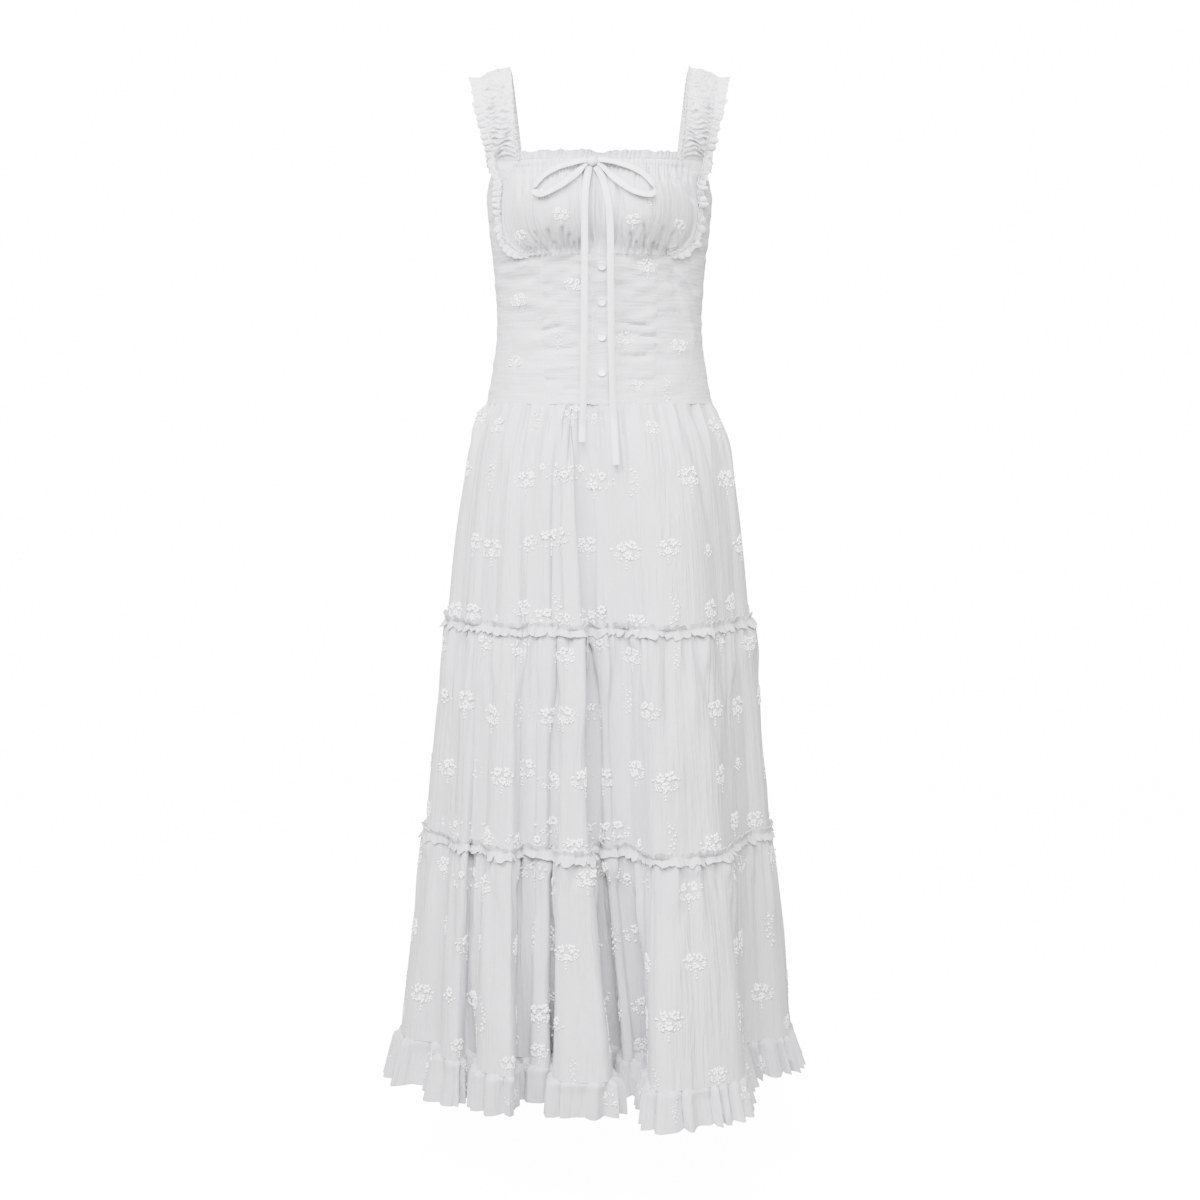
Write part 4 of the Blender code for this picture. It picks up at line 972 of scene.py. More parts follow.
def gather_rows(count, longest, spacing, seed):
    """The gathers under a seam: share, lean, length, half width and lift of each, uneven as sewn ones are."""
    random = np.random.default_rng(seed)
    share = (np.arange(count) + random.uniform(-0.42, 0.42, count)) / count
    lean = random.normal(0.0, 0.10, count) / count
    length = longest * random.uniform(0.18, 1.0, count) ** 1.4 + 0.012
    half_width = random.uniform(0.0026, 0.0048, count) * spacing / 0.0115
    lift = random.uniform(0.24, 0.72, count) * spacing * np.where(random.random(count) < 0.35, -0.8, 1.0)
    return share, lean, length, half_width, lift


def ridge_lift(share, z, along, top, rows):
    """The lift of soft ridges and troughs that run down the cloth; along is each point's place on its own row."""
    lift = np.zeros(z.shape + share.shape)
    for i, height in enumerate(z):
        around = along[i, -1]
        for start, end, z_top, z_low, half_width, size, sharp_top in rows:
            t = (z_top - height) / (z_top - z_low)
            if not -0.12 < t < 1.0:
                continue
            middle = np.interp(np.mod(start + (end - start) * t, 1.0), np.append(share, 1.0), along[i])
            away = np.abs(along[i, :-1] - middle)
            away = np.minimum(away, around - away)
            fade = smoothstep((1 - t) / 0.55)
            if sharp_top:
                fade = fade * (0.45 + 0.55 * smoothstep((top - height) / 0.010))
            else:
                fade = fade * smoothstep((t + 0.12) / 0.24)
            spread = half_width * (1 + 0.9 * max(t, 0.0))
            lift[i] += size * fade * np.exp(-((away / spread) ** 2))
    return lift


def shallower(share, z):
    """How far slack cloth bridges the valleys of the folds in the upper tiers, where they are still shallow."""
    width = int(FOLD_BRIDGE * CURVE_SAMPLES)
    kernel = np.exp(-((np.arange(-3 * width, 3 * width + 1) / width) ** 2) / 2)
    kernel = kernel / kernel.sum()
    line = HEM_LINE[:-1]
    around = np.concatenate([line[-3 * width :], line, line[: 3 * width]])
    even = np.stack([np.convolve(around[:, k], kernel, "valid") for k in (0, 1)], axis=1)
    outward = unit(even)
    gain = np.maximum(np.sum((even - line) * outward, axis=1), 0.0)
    gain = np.append(gain, gain[0])
    at = np.mod(share, 1.0) * CURVE_SAMPLES
    stations = np.arange(CURVE_SAMPLES + 1)
    direction = np.stack([np.interp(at, stations, np.append(outward[:, k], outward[0, k])) for k in (0, 1)], axis=-1)
    kept = np.exp(-(((np.mod(share, 1.0) - CHANNEL_SHARE + 0.006) / 0.016) ** 2))
    bridged = np.interp(-z, [0.43, 0.56, 0.85, 1.05, 1.15, 1.2335], [0.90, 0.88, 0.84, 0.76, 0.60, 0.30])
    slack = 1 + 0.60 * np.exp(-(((np.mod(share, 1.0) - 0.176) / 0.020) ** 2))
    eased = np.minimum(bridged * slack, 1.0)
    amount = np.interp(at, stations, gain) * eased * section(z)[3] * (1 - 0.32 * kept)
    return np.concatenate([direction * amount[..., None], np.zeros(amount.shape + (1,))], axis=-1)


def soft_waves(share, z, seed, count, low, high, size):
    """Low uneven waves all round the cloth, mostly upright."""
    random = np.random.default_rng(seed)
    total = np.zeros(z.shape + share.shape)
    for _ in range(count):
        m = int(random.integers(low, high))
        k = random.normal(0.0, 24.0)
        phase = random.uniform(0, 2 * math.pi)
        total += np.cos(2 * math.pi * m * share[None, :] + k * z[:, None] + phase)
    return size * total / math.sqrt(count)


def tier_cloth(name, top, bottom, columns, rows, gathers, longest, seed):
    """The finished surface of one tier as (points, outward directions, heights)."""
    z = top - SEAM_GAP - (top - SEAM_GAP - bottom) * np.linspace(0.0, 1.0, rows) ** 1.12
    share = np.arange(columns) / columns
    base = skirt_point(share[None, :], z[:, None])
    base = base + shallower(share[None, :], z[:, None])
    out = normals(skirt_point, np.broadcast_to(share, base.shape[:2]), np.broadcast_to(z[:, None], base.shape[:2]), 0.004)
    wide = np.concatenate([base, base[:, :1]], axis=1)
    along = np.concatenate([np.zeros((rows, 1)), np.cumsum(np.linalg.norm(np.diff(wide, axis=1), axis=-1), axis=1)], axis=1)
    creases = [(s0, s1, z0, z1, w, h, z0 > top - 0.010) for piece, s0, z0, s1, z1, w, h in SKIRT_CREASES if piece == name]
    sewn = [(s, s + d, top, top - l, w, h, True) for s, d, l, w, h in zip(*gather_rows(gathers, longest, along[0, -1] / gathers, seed))]
    pulled = []
    random = np.random.default_rng(seed + 50)
    count = int(gathers * 1.7)
    for s in (np.arange(count) + random.uniform(-0.4, 0.4, count)) / count:
        reach = random.uniform(0.008, 0.030)
        pulled.append((s, s, bottom - 0.001, bottom + reach, random.uniform(0.002, 0.0034), random.uniform(0.0005, 0.0015), False))
    lift = ridge_lift(share, z, along, top, creases) + ridge_lift(share, z, along, top, sewn)
    for s, _, z_low, z_top, w, h, _ in pulled:
        for i in np.nonzero(z < z_top)[0]:
            away = np.abs(along[i, :-1] - np.interp(s, np.append(share, 1.0), along[i]))
            away = np.minimum(away, along[i, -1] - away)
            lift[i] += h * smoothstep((z_top - z[i]) / (z_top - z_low)) * np.exp(-((away / w) ** 2))
    lift += soft_waves(share, z, seed + 7, 26, 14, int(along[:, -1].mean() / 0.030), 0.00075)
    lift += soft_waves(share, z, seed + 8, 20, 3, 12, 0.0008)
    points = base + out * lift[..., None]
    points[[0, -1], :, 2] = z[[0, -1], None]
    tucked = points[:1] - unit(out[:1] * np.array([1.0, 1.0, 0.0])) * 0.0012 + np.array([0.0, 0.0, 0.0016])
    points = np.concatenate([tucked, points])
    return points, grid_normals(points, True), np.append(z[0] + 0.0016, z)


def sample(tier, share, z):
    """Points and outward directions at places on a finished tier."""
    points, out, heights = tier
    rows, columns = points.shape[:2]
    share, z = np.broadcast_arrays(np.asarray(share, float), np.asarray(z, float))
    across = np.mod(share, 1.0) * columns
    j = np.floor(across).astype(int) % columns
    u = (across - np.floor(across))[..., None]
    down = np.interp(-z, -heights, np.arange(rows))
    i = np.minimum(down.astype(int), rows - 2)
    v = (down - i)[..., None]
    k = (j + 1) % columns

    def mixed(a):
        return (a[i, j] * (1 - u) + a[i, k] * u) * (1 - v) + (a[i + 1, j] * (1 - u) + a[i + 1, k] * u) * v

    return mixed(points), unit(mixed(out))


def each_wave(phase, seed):
    """An uneven size for each wave of a frill, passing smoothly from one wave to the next."""
    random = np.random.default_rng(seed)
    turn = (phase - phase.min()) / (2 * math.pi)
    count = int(turn.max()) + 3
    sizes = np.clip(random.normal(1.0, 0.42, count), 0.15, 1.9)
    sizes[-2:] = sizes[:2]
    return np.interp(turn, np.arange(count), sizes)


SKIRT = {}


def skirt_cloth():
    """The three tiers' surfaces, worked out once."""
    if not SKIRT:
        for seed, (name, top, bottom, columns, rows, gathers, longest, _, _) in enumerate(TIERS, 11):
            SKIRT[name] = tier_cloth(name, top, bottom, columns, rows, gathers, longest, seed)
    return SKIRT


def make_tiers():
    surfaces = skirt_cloth()
    sizes = bpy.context.scene.dress_sizes
    for number, (name, _, _, _, _, _, _, width, length) in enumerate(TIERS, 1):
        points, out, _ = surfaces[name]
        flat = out.copy()
        flat[[0, -1], :, 2] = 0.0
        obj = cloth_shell(name, points, crinkled(), round_it=True, thickness=sizes.cloth, normal=unit(flat))
        stands_for(obj, f"skirt_tier_{number}_front", f"skirt_tier_{number}_back")


SEAM_FRILL_ROWS = [
    # height above the seam, share of the wave, thickness in cloths
    (0.0064, 1.00, 1.4),
    (0.0040, 0.70, 1.0),
    (0.0014, 0.24, 1.0),
    (0.0000, 0.06, 1.0),
    (-0.0014, 0.24, 1.0),
    (-0.0040, 0.70, 1.0),
    (-0.0070, 1.08, 1.4),
]


def make_seam_frill(name, node, above, below, seam, waves, seed):
    """A narrow gathered frill sewn down along its middle, its two edges free and wavy."""
    sizes = bpy.context.scene.dress_sizes
    columns = waves * 10
    share = np.arange(columns) / columns
    phase = 2 * math.pi * (waves * share + wobble(share, seed, 60, 1.1))
    other = phase + 0.9 + wobble(share, seed + 1, 60, 2.6)
    uneven = each_wave(phase, seed + 2)
    loose = each_wave(phase, seed + 3)
    rows, thickness = [], []
    for height, part, cloths in SEAM_FRILL_ROWS:
        wave = phase if height < 0 else other
        shift = 0.10 * part * np.sin(wave) / waves
        tier = above if height > 0 else below
        fold = 0.9 * np.cos(wave) + 0.75 * np.cos(2.3 * wave + 1.0)
        scallop = part * (0.0017 * np.sign(height) * fold * loose + 0.0020 * (uneven - 1.0))
        point, out = sample(tier, share + shift, seam + height)
        out[:, 2] = 0.0
        out = unit(out)
        swell = loose if height > 0 else uneven
        lift = sizes.cloth * cloths + 0.0009 + part * swell * sizes.seam_frill_wave * (0.5 + 0.36 * fold)
        point = point + out * lift[:, None]
        point[:, 2] = seam + height + scallop
        rows.append(point)
        thickness.append(sizes.cloth * cloths)
    obj = cloth_shell(name, np.stack(rows), crinkled(), round_it=True, thickness=thickness)
    stands_for(obj, node)


def make_hem_ruffle():
    """The gathered ruffle at the hem: pleats that open downwards, a flare and a narrow rolled edge."""
    sizes = bpy.context.scene.dress_sizes
    waves = sizes.hem_pleats
    columns = waves * 8
    share = np.arange(columns) / columns
    way = np.array([-0.03, 0.03, 0.12, 0.24, 0.38, 0.54, 0.70, 0.84, 0.925, 0.965, 1.0])
    phase = 2 * math.pi * (waves * share + wobble(share, 31, 60, 2.6))
    uneven = each_wave(phase, 32)
    edge, edge_out = sample(skirt_cloth()["lower_tier"], share, RUFFLE_SEAM_Z)
    edge_out[:, 2] = 0.0
    smooth = normals(skirt_point, share, np.full_like(share, RUFFLE_SEAM_Z), 0.006, level=True)
    centre_out = unit(np.stack([edge[:, 0] / HEM_HALF_WIDTH, edge[:, 1] / HEM_FRONT, np.zeros_like(share)], axis=1))
    narrow_lobes = np.exp(-(((edge[:, 0] + 0.080) / 0.110) ** 8)) * (edge[:, 1] < 0)
    flare = sizes.hem_flare * (1 - 0.85 * narrow_lobes)
    drop = HEM_DROP_LEFT * np.exp(-(((np.mod(share + 0.5, 1.0) - 0.5 - 0.03) / 0.06) ** 2))
    rows, thickness = [], []
    for t in way:
        z = RUFFLE_SEAM_Z - SEAM_GAP - t * (RUFFLE_SEAM_Z - SEAM_GAP - HEM_Z)
        opened = min(1.0, 0.55 + 1.6 * t) if t > 0 else 0.10
        wave = uneven * opened * sizes.hem_wave * (np.cos(phase + 0.5 * t) + 0.30 * np.cos(2 * phase + 1.0))
        shift = 0.16 * opened * np.sin(phase) / waves
        base, _ = sample(skirt_cloth()["lower_tier"], share + shift, RUFFLE_SEAM_Z)
        out = unit(smooth)
        stood = flare * max(t, 0.0) ** 1.25
        under = -0.0012 if t < 0 else 0.0019 * math.sin(math.pi * min((t + 0.06) / 0.30, 1.0))
        point = base + out * (under + wave + 0.60 * stood)[:, None] + centre_out * (0.50 * stood)[:, None]
        point[:, 2] = z - t * drop - 0.0014 * t * np.cos(phase) * uneven
        rows.append(point)
        thickness.append(sizes.cloth * (2.2 if t > 0.93 else 1.0))
    outer = np.stack(rows)
    levels = RUFFLE_SEAM_Z - SEAM_GAP - way * (RUFFLE_SEAM_Z - SEAM_GAP - HEM_Z)
    SKIRT["hem_ruffle"] = (outer, grid_normals(outer, True), levels)
    obj = cloth_shell("hem_ruffle", outer, crinkled(), round_it=True, thickness=thickness)
    stands_for(obj, "hem_ruffle_front", "hem_ruffle_back")
    return outer


# Bodice


def segment_lift(rows, x, z):
    """The lift of short soft ridges and troughs, each along a straight line with faded ends."""
    total = np.zeros(np.broadcast(x, z).shape)
    for x0, z0, x1, z1, half_width, size in rows:
        dx, dz = x1 - x0, z1 - z0
        length = math.hypot(dx, dz)
        t = ((x - x0) * dx + (z - z0) * dz) / length**2
        bend = 0.25 * half_width * np.sin(5.0 * t + 40 * x0)
        away = ((x - x0) * dz - (z - z0) * dx) / length + bend
        beyond = np.maximum(np.abs(t - 0.5) - 0.32, 0.0) / 0.16
        total = total + size * np.exp(-((away / half_width) ** 2) - beyond**2)
    return total


def sine_crumple(x, z, seed, count, scale, size):
    """Small uneven waves in every direction, as in washed cotton."""
    random = np.random.default_rng(seed)
    total = 0.0
    for _ in range(count):
        turn = random.uniform(0, math.pi)
        k = 2 * math.pi / (scale * random.uniform(0.6, 1.6))
        total = total + np.cos(k * (math.cos(turn) * x + math.sin(turn) * z) + random.uniform(0, 6.3))
    return size * total / math.sqrt(count)


def bodice_surface(angle, z):
    """The bodice with its wrinkles, and its outward directions."""
    angle, z = np.broadcast_arrays(np.asarray(angle, float), np.asarray(z, float))
    plain = bodice_point(angle, z)
    out = normals(bodice_point, angle, z, 0.003)
    x = plain[..., 0]
    front = np.cos(angle) > 0
    lift = np.where(front, segment_lift(FRONT_WRINKLES, x, z), segment_lift(BACK_WRINKLES, x, z))
    lift = lift + sine_crumple(x + np.where(front, 0.0, 0.7), z * 1.6, 5, 14, 0.040, 0.00045)
    lift = 2.2 * lift * smoothstep((z - WAIST_SEAM_Z) / 0.008) * (0.45 + 0.55 * np.abs(np.cos(angle)))
    lift = lift + 0.0009 * np.exp(-(((z - WAIST_SEAM_Z - 0.0016) / 0.0016) ** 2))
    return plain + out * lift[..., None], out


def bust_surface(x, z):
    """The gathered bust at half-breadths x and heights z, and its outward directions."""
    x, z = np.broadcast_arrays(x, z)
    angle = angle_at(x, z)
    plain = bodice_point(angle, z)
    out = normals(bodice_point, angle, z, 0.003)
    lift = 1.45 * segment_lift(BUST_CREASES, x, z)
    fine = np.cos(2 * math.pi * 21.0 * (np.abs(x) + 0.004 * np.sin(90 * x)) / 0.1035)
    lift = lift + 0.0011 * fine * smoothstep((z + 0.165) / 0.025) * smoothstep((NECK_Z - z) / 0.002)
    lift = lift + 0.0011 * fine * smoothstep((-0.222 - z) / 0.012)
    lift = lift + sine_crumple(x, z * 0.6, 6, 12, 0.030, 0.00035)
    channel = np.exp(-(((z - NECK_Z + 0.0048) / 0.0026) ** 2)) * 0.0011
    groove = np.exp(-(((z - NECK_Z + 0.0098) / 0.0011) ** 2)) * 0.0010
    lift = lift + channel - groove
    return plain + out * lift[..., None], out


def stretched(rows, count):
    """A table's rows, drawn out to more rows by straight steps."""
    p = np.asarray(rows, float)
    at = np.linspace(0.0, len(p) - 1.0, count)
    return np.stack([np.interp(at, np.arange(len(p)), p[:, k]) for k in range(p.shape[1])], axis=1)


def make_bust():
    sizes = bpy.context.scene.dress_sizes
    across = np.linspace(-1.0, 1.0, 229)
    edge = stretched(CUP_EDGE, 60)
    centre_z = np.linspace(NECK_Z, UNDERBUST_Z, len(edge))
    x = edge[:, :1] * across
    z = centre_z[:, None] + (edge[:, 1:] - centre_z[:, None]) * across**2
    down = np.linspace(0.0, 1.0, len(edge))[:, None]
    side = np.abs(across)[None, :]
    x = x + SEAM_LAP * np.sign(across) * smoothstep((side - 0.9) / 0.1)
    z = z - SEAM_LAP * smoothstep((down - 0.9) / 0.1)
    points, out = bust_surface(x, z)
    rise = np.maximum(smoothstep((side - 0.97) / 0.02), smoothstep((down - 0.96) / 0.02)) + 0.0 * x
    points = points + out * (LAP_RISE * rise)[..., None]
    obj = cloth_shell("bust_cups", points, crinkled(), thickness=sizes.cloth)
    stands_for(obj, "bust")


def make_neck_frill():
    """The gathered heading above the drawstring channel."""
    sizes = bpy.context.scene.dress_sizes
    columns = 420
    x = np.linspace(-0.1022, 0.1022, columns)
    ways = np.array([-0.14, 0.02, 0.16, 0.34, 0.54, 0.74, 0.90, 1.0])
    phase = 2 * math.pi * (33 * (x + 0.1022) / 0.2044 + 0.55 * np.sin(60 * x) + 0.5 * np.sin(137 * x + 1))
    uneven = each_wave(phase, 61)
    angle = angle_at(x, np.full_like(x, NECK_Z))
    base = bodice_point(angle, np.full_like(x, NECK_Z))
    out = normals(bodice_point, angle, np.full_like(x, NECK_Z), 0.003, level=True)
    dip = 0.0040 * np.exp(-(((x - 0.003) / 0.014) ** 2))
    rows = []
    for way in ways[::-1]:
        shift = 0.0009 * way * np.sin(phase)
        lift = np.where(way < 0, -0.0011, 0.0004 + way * 0.0014 + way * uneven * sizes.neck_wave * np.cos(phase))
        point = base + out * lift[:, None]
        point[:, 0] += shift
        height = 0.0102 + 0.0022 * (uneven - 1.0) - dip
        point[:, 2] = NECK_Z + SEAM_GAP + way * height
        rows.append(point)
    thickness = [sizes.cloth * 1.4] * 2 + [sizes.cloth] * (len(rows) - 2)
    obj = cloth_shell("neck_heading", np.stack(rows), cloth(), thickness=thickness)
    stands_for(obj, "neck_frill")


def cup_seam_outside():
    """The cup's outer seam moved outwards by the seam gap."""
    edge = np.array(CUP_EDGE)
    along = unit(np.gradient(edge, axis=0))
    moved = edge + np.stack([-along[:, 1], along[:, 0]], axis=1) * SEAM_GAP * 1.15
    moved[0, 1] = NECK_Z
    return moved


def make_side_front(side, word):
    """The panel between a cup, the armhole, the side seam and the princess seam."""
    sizes = bpy.context.scene.dress_sizes
    inner = stretched(np.concatenate([cup_seam_outside(), np.array(PRINCESS_SEAM)]), 92)
    outer_deg = [row[0] for row in ARMHOLE] + [90.0] * len(SIDE_SEAM_Z)
    outer = stretched(np.stack([outer_deg, [row[1] for row in ARMHOLE] + SIDE_SEAM_Z], axis=1), 92)
    inner_angle = angle_at(inner[:, 0], inner[:, 1])
    seam = 0.5 * SEAM_GAP / 0.1
    outer_angle = np.minimum(np.radians(outer[:, 0]), math.pi / 2 - seam)
    share = np.linspace(0.0, 1.0, 34)
    angles = inner_angle[:, None] + (outer_angle - inner_angle)[:, None] * share
    heights = inner[:, 1:] + (outer[:, 1:] - inner[:, 1:]) * share
    if side < 0:
        angles, heights = -angles[:, ::-1], heights[:, ::-1]
    points, _ = bodice_surface(angles, heights)
    obj = cloth_shell(f"side_panel_{word}", points, cloth(), thickness=sizes.cloth)
    stands_for(obj, f"side_front_{word}")


def make_centre_front(side, word):
    """The panel between the centre line and the princess seam."""
    sizes = bpy.context.scene.dress_sizes
    seam = stretched(PRINCESS_SEAM, 80)
    rows = (seam[:, 1] - seam[0, 1]) / (WAIST_SEAM_Z - seam[0, 1])
    share = np.linspace(0.0, 1.0, 28)
    x = SEAM_GAP / 2 + (seam[:, :1] + SEAM_LAP - SEAM_GAP / 2) * share
    cup_end_x, cup_end_z = CUP_EDGE[-1]
    top = UNDERBUST_Z + (cup_end_z - UNDERBUST_Z) * (x[0] / cup_end_x) ** 2 - SEAM_GAP * 1.15
    z = top + (WAIST_SEAM_Z - top) * rows[:, None]
    if side < 0:
        x, z = -x[:, ::-1], z[:, ::-1]
    points, out = bodice_surface(angle_at(x, z), z)
    lap = share if side > 0 else share[::-1]
    points = points + out * (0.0007 * smoothstep((lap - 0.86) / 0.06))[None, :, None]
    obj = cloth_shell(f"centre_panel_{word}", points, cloth(), thickness=sizes.cloth)
    stands_for(obj, f"centre_front_{word}")


def back_top(angles):
    from_side = np.degrees(np.minimum(angles - math.pi / 2, 3 * math.pi / 2 - angles))
    return UNDERARM_Z + (BACK_NECK_Z - UNDERARM_Z) * smoothstep(from_side / BACK_ARMHOLE_DEG)


def make_back():
    """One plain back panel from side seam to side seam, its top cut down to the underarms."""
    sizes = bpy.context.scene.dress_sizes
    seam = 0.5 * SEAM_GAP / 0.1
    angles = np.linspace(math.pi / 2 + seam, 3 * math.pi / 2 - seam, 112)
    lap = smoothstep((np.abs(angles - math.pi) - 1.53) / 0.03)
    top = back_top(angles)
    z = top + (WAIST_SEAM_Z - top) * np.linspace(0.0, 1.0, 70)[:, None]
    across = angles + np.sign(angles - math.pi) * lap * SEAM_LAP / 0.1
    points, out = bodice_surface(np.broadcast_to(across, z.shape), z)
    points = points + out * (0.0007 * lap)[None, :, None]
    obj = cloth_shell("back_panel", points, cloth(), thickness=sizes.cloth)
    stands_for(obj, "bodice_back")


def make_placket():
    """The button strip down the centre front, with its folded edges."""
    sizes = bpy.context.scene.dress_sizes
    top = UNDERBUST_Z - SEAM_GAP * 1.15
    z = np.linspace(top, WAIST_SEAM_Z - 0.0010, 76)[:, None]
    share = np.array([-1.0, -0.97, -0.90, -0.80, -0.55, -0.28, 0.0, 0.28, 0.55, 0.80, 0.90, 0.97, 1.0])
    x = PLACKET_HALF_WIDTH * share[None, :] + 0.0004 * np.sin(70 * z)
    surface, out = bodice_surface(angle_at(x, z), z)
    fold = 0.00035 * (np.abs(share) > 0.88)
    stood = -0.0002 + 0.0022 * smoothstep((z - WAIST_SEAM_Z) / 0.03)
    lift = stood + fold[None, :] + sine_crumple(x, z, 9, 8, 0.022, 0.00022)
    obj = cloth_shell("placket", surface + out * lift[..., None], cloth(), thickness=sizes.cloth * 1.5)
    stands_for(obj, "button_placket")


def button_place(z):
    x = np.array([BUTTON_X])
    height = np.array([z])
    angle = angle_at(x, height)
    out = normals(bodice_point, angle, height, 0.003)[0]
    point, _ = bodice_surface(angle, height)
    return point[0] + out * 0.0030, out


def button_shape():
    """A turned button with a raised rim and four holes, lying flat at the origin."""
    profile = [
        # share of the radius, share of the thickness
        (0.0, 0.0),
        (0.90, 0.0),
        (0.98, 0.14),
        (1.0, 0.40),
        (1.0, 0.70),
        (0.965, 0.92),
        (0.90, 1.0),
        (0.80, 0.97),
        (0.72, 0.80),
        (0.62, 0.66),
        (0.30, 0.60),
        (0.0, 0.60),
    ]
    sides = 40
    mesh = bmesh.new()
    rings = []
    for radius, height in profile[1:-1]:
        r, h = radius * BUTTON_RADIUS, height * BUTTON_THICKNESS
        turns = [2 * math.pi * k / sides for k in range(sides)]
        rings.append([mesh.verts.new((r * math.cos(a), r * math.sin(a), h)) for a in turns])
    for lower, upper in zip(rings, rings[1:]):
        for k in range(sides):
            m = (k + 1) % sides
            mesh.faces.new((lower[k], lower[m], upper[m], upper[k]))
    mesh.faces.new(list(reversed(rings[0])))
    mesh.faces.new(rings[-1])
    data = bpy.data.meshes.new("button_blank")
    mesh.to_mesh(data)
    mesh.free()
    blank = bpy.data.objects.new("button_blank", data)
    holes = bmesh.new()
    for x, y in ((1, 1), (1, -1), (-1, 1), (-1, -1)):
        spot = Matrix.Translation((x * 0.00115, y * 0.00115, BUTTON_THICKNESS / 2))
        bmesh.ops.create_cone(holes, cap_ends=True, segments=12, radius1=0.00062, radius2=0.00062, depth=0.008, matrix=spot)
    hole_data = bpy.data.meshes.new("button_holes")
    holes.to_mesh(hole_data)
    holes.free()
    cutter = bpy.data.objects.new("button_holes", hole_data)
    for obj in (blank, cutter):
        bpy.context.scene.collection.objects.link(obj)
    cut = blank.modifiers.new("holes", "BOOLEAN")
    cut.object = cutter
    cut.operation = "DIFFERENCE"
    bpy.context.view_layer.update()
    done = bpy.data.meshes.new_from_object(blank.evaluated_get(bpy.context.evaluated_depsgraph_get()))
    for obj in (blank, cutter):
        bpy.data.objects.remove(obj)
    return done


def make_buttons():
    shape = button_shape()
    material = button_material()
    for number, z in enumerate(BUTTON_Z, 1):
        point, out = button_place(z)
        place = Matrix.Translation(Vector(point)) @ Vector(out).to_track_quat("Z", "Y").to_matrix().to_4x4()
        data = shape.copy()
        data.transform(place)
        data.shade_smooth()
        data.set_sharp_from_angle(angle=math.radians(35))
        stands_for(add_object(f"shell_button_{number}", data, material), f"button_{number}", slot="button")
        parts = []
        for x in (-0.00115, 0.00115):
            t = np.linspace(-1.0, 1.0, 9)
            path = np.stack([np.full(9, x), t * 0.00125, 0.62 * BUTTON_THICKNESS + 0.00045 * (1 - t**4) - 0.0003], axis=1)
            path = path @ np.array(place.to_3x3()).T + np.array(place.translation)
            parts.append(strip_mesh(path, np.tile(np.array(place.to_3x3())[:, 0], (9, 1)), 0.0008, 0.0005))
        thread = closed_piece(f"button_thread_{number}", parts, thread_material())
        stands_for(thread)


# Straps


def strap_edges(stations):
    """The strap's inner and outer edges from the front neckline, over the shoulder, to the back neckline."""
    front_x = np.array([0.1030, STRAP_OUTER_X])
    front = bodice_point(angle_at(front_x, np.full(2, NECK_Z)), np.full(2, NECK_Z))
    back = bodice_point(math.pi - angle_at(front_x, np.full(2, BACK_NECK_Z)), np.full(2, BACK_NECK_Z))
    front[:, 2] = NECK_Z + SEAM_GAP
    back[:, 2] = BACK_NECK_Z + SEAM_GAP
    rows = np.array(STRAP_EDGES)
    inner = through(np.concatenate([front[:1], rows[:, :3], back[:1]]), stations)
    outer = through(np.concatenate([front[1:], rows[:, 3:], back[1:]]), stations)
    return inner, outer


def strap_frames(stations):
    """The strap's edges, with the unit directions across it and outwards at each station."""
    inner, outer = strap_edges(stations)
    across = unit(outer - inner)
    out = unit(np.cross(across, unit(np.gradient((inner + outer) / 2, axis=0))))
    return inner, outer, across, out


def strap_surface(stations, shares):
    """The ruched top of a strap: crosswise folds between three lengthwise rows of stitches."""
    inner, outer, across, out = strap_frames(stations)
    share = np.asarray(shares)[None, :, None]
    length = np.concatenate([[0.0], np.cumsum(np.linalg.norm(np.diff((inner + outer) / 2, axis=0), axis=1))])
    s = length[:, None, None]
    drift = 2.2 * np.sin(7.0 * share + 130 * s) + 1.6 * np.sin(71 * s - 5 * share) + 0.9 * np.sin(310 * s + 11 * share)
    phase = 2 * math.pi * s / 0.0062 + drift
    held = 0.60 + 0.40 * np.sin(math.pi * np.clip((share - 0.06) / 0.88, 0, 1) * 2) ** 2
    size = 1.0 + 0.45 * np.sin(190 * s + 9 * share) + 0.3 * np.sin(433 * s - 6 * share)
    ends = smoothstep(np.minimum(s, length[-1] - s) / 0.012)
    lift = 0.0012 + 0.0017 * held * size * (np.cos(phase) + 0.4 * np.cos(1.7 * phase + share * 5))
    lift = (0.0018 * np.sin(math.pi * share) + lift) * ends
    ragged = 0.035 * np.sin(0.5 * phase + 2) * size * (2 * share - 1) * ends
    top = inner[:, None] + (outer - inner)[:, None] * (share + ragged)
    return top + out[:, None] * lift, across, out, inner, outer


def make_strap(side, word):
    sizes = bpy.context.scene.dress_sizes
    top, _, _, _, _ = strap_surface(380, np.linspace(0.0, 1.0, 14))
    grid = mirrored(top[:, ::-1], side)
    obj = cloth_shell(f"ruched_strap_{word}", grid, lacy(), thickness=sizes.cloth)
    stands_for(obj, f"strap_{word}")
    inner, _, across, out = strap_frames(420)
    ways = (0.22, 0.10, 0.0, -0.35, -0.70, -1.0)
    narrow = edge_frill(inner, across, out, 0.0045, 0.0020, 0.0068, 8 + side, ways)
    narrow = narrow + (out * 0.0016)[:, None]
    edging = cloth_shell(f"inner_ruffle_{word}", mirrored(narrow[:, ::-1][::-1], side), lacy(), thickness=sizes.cloth)
    stands_for(edging)


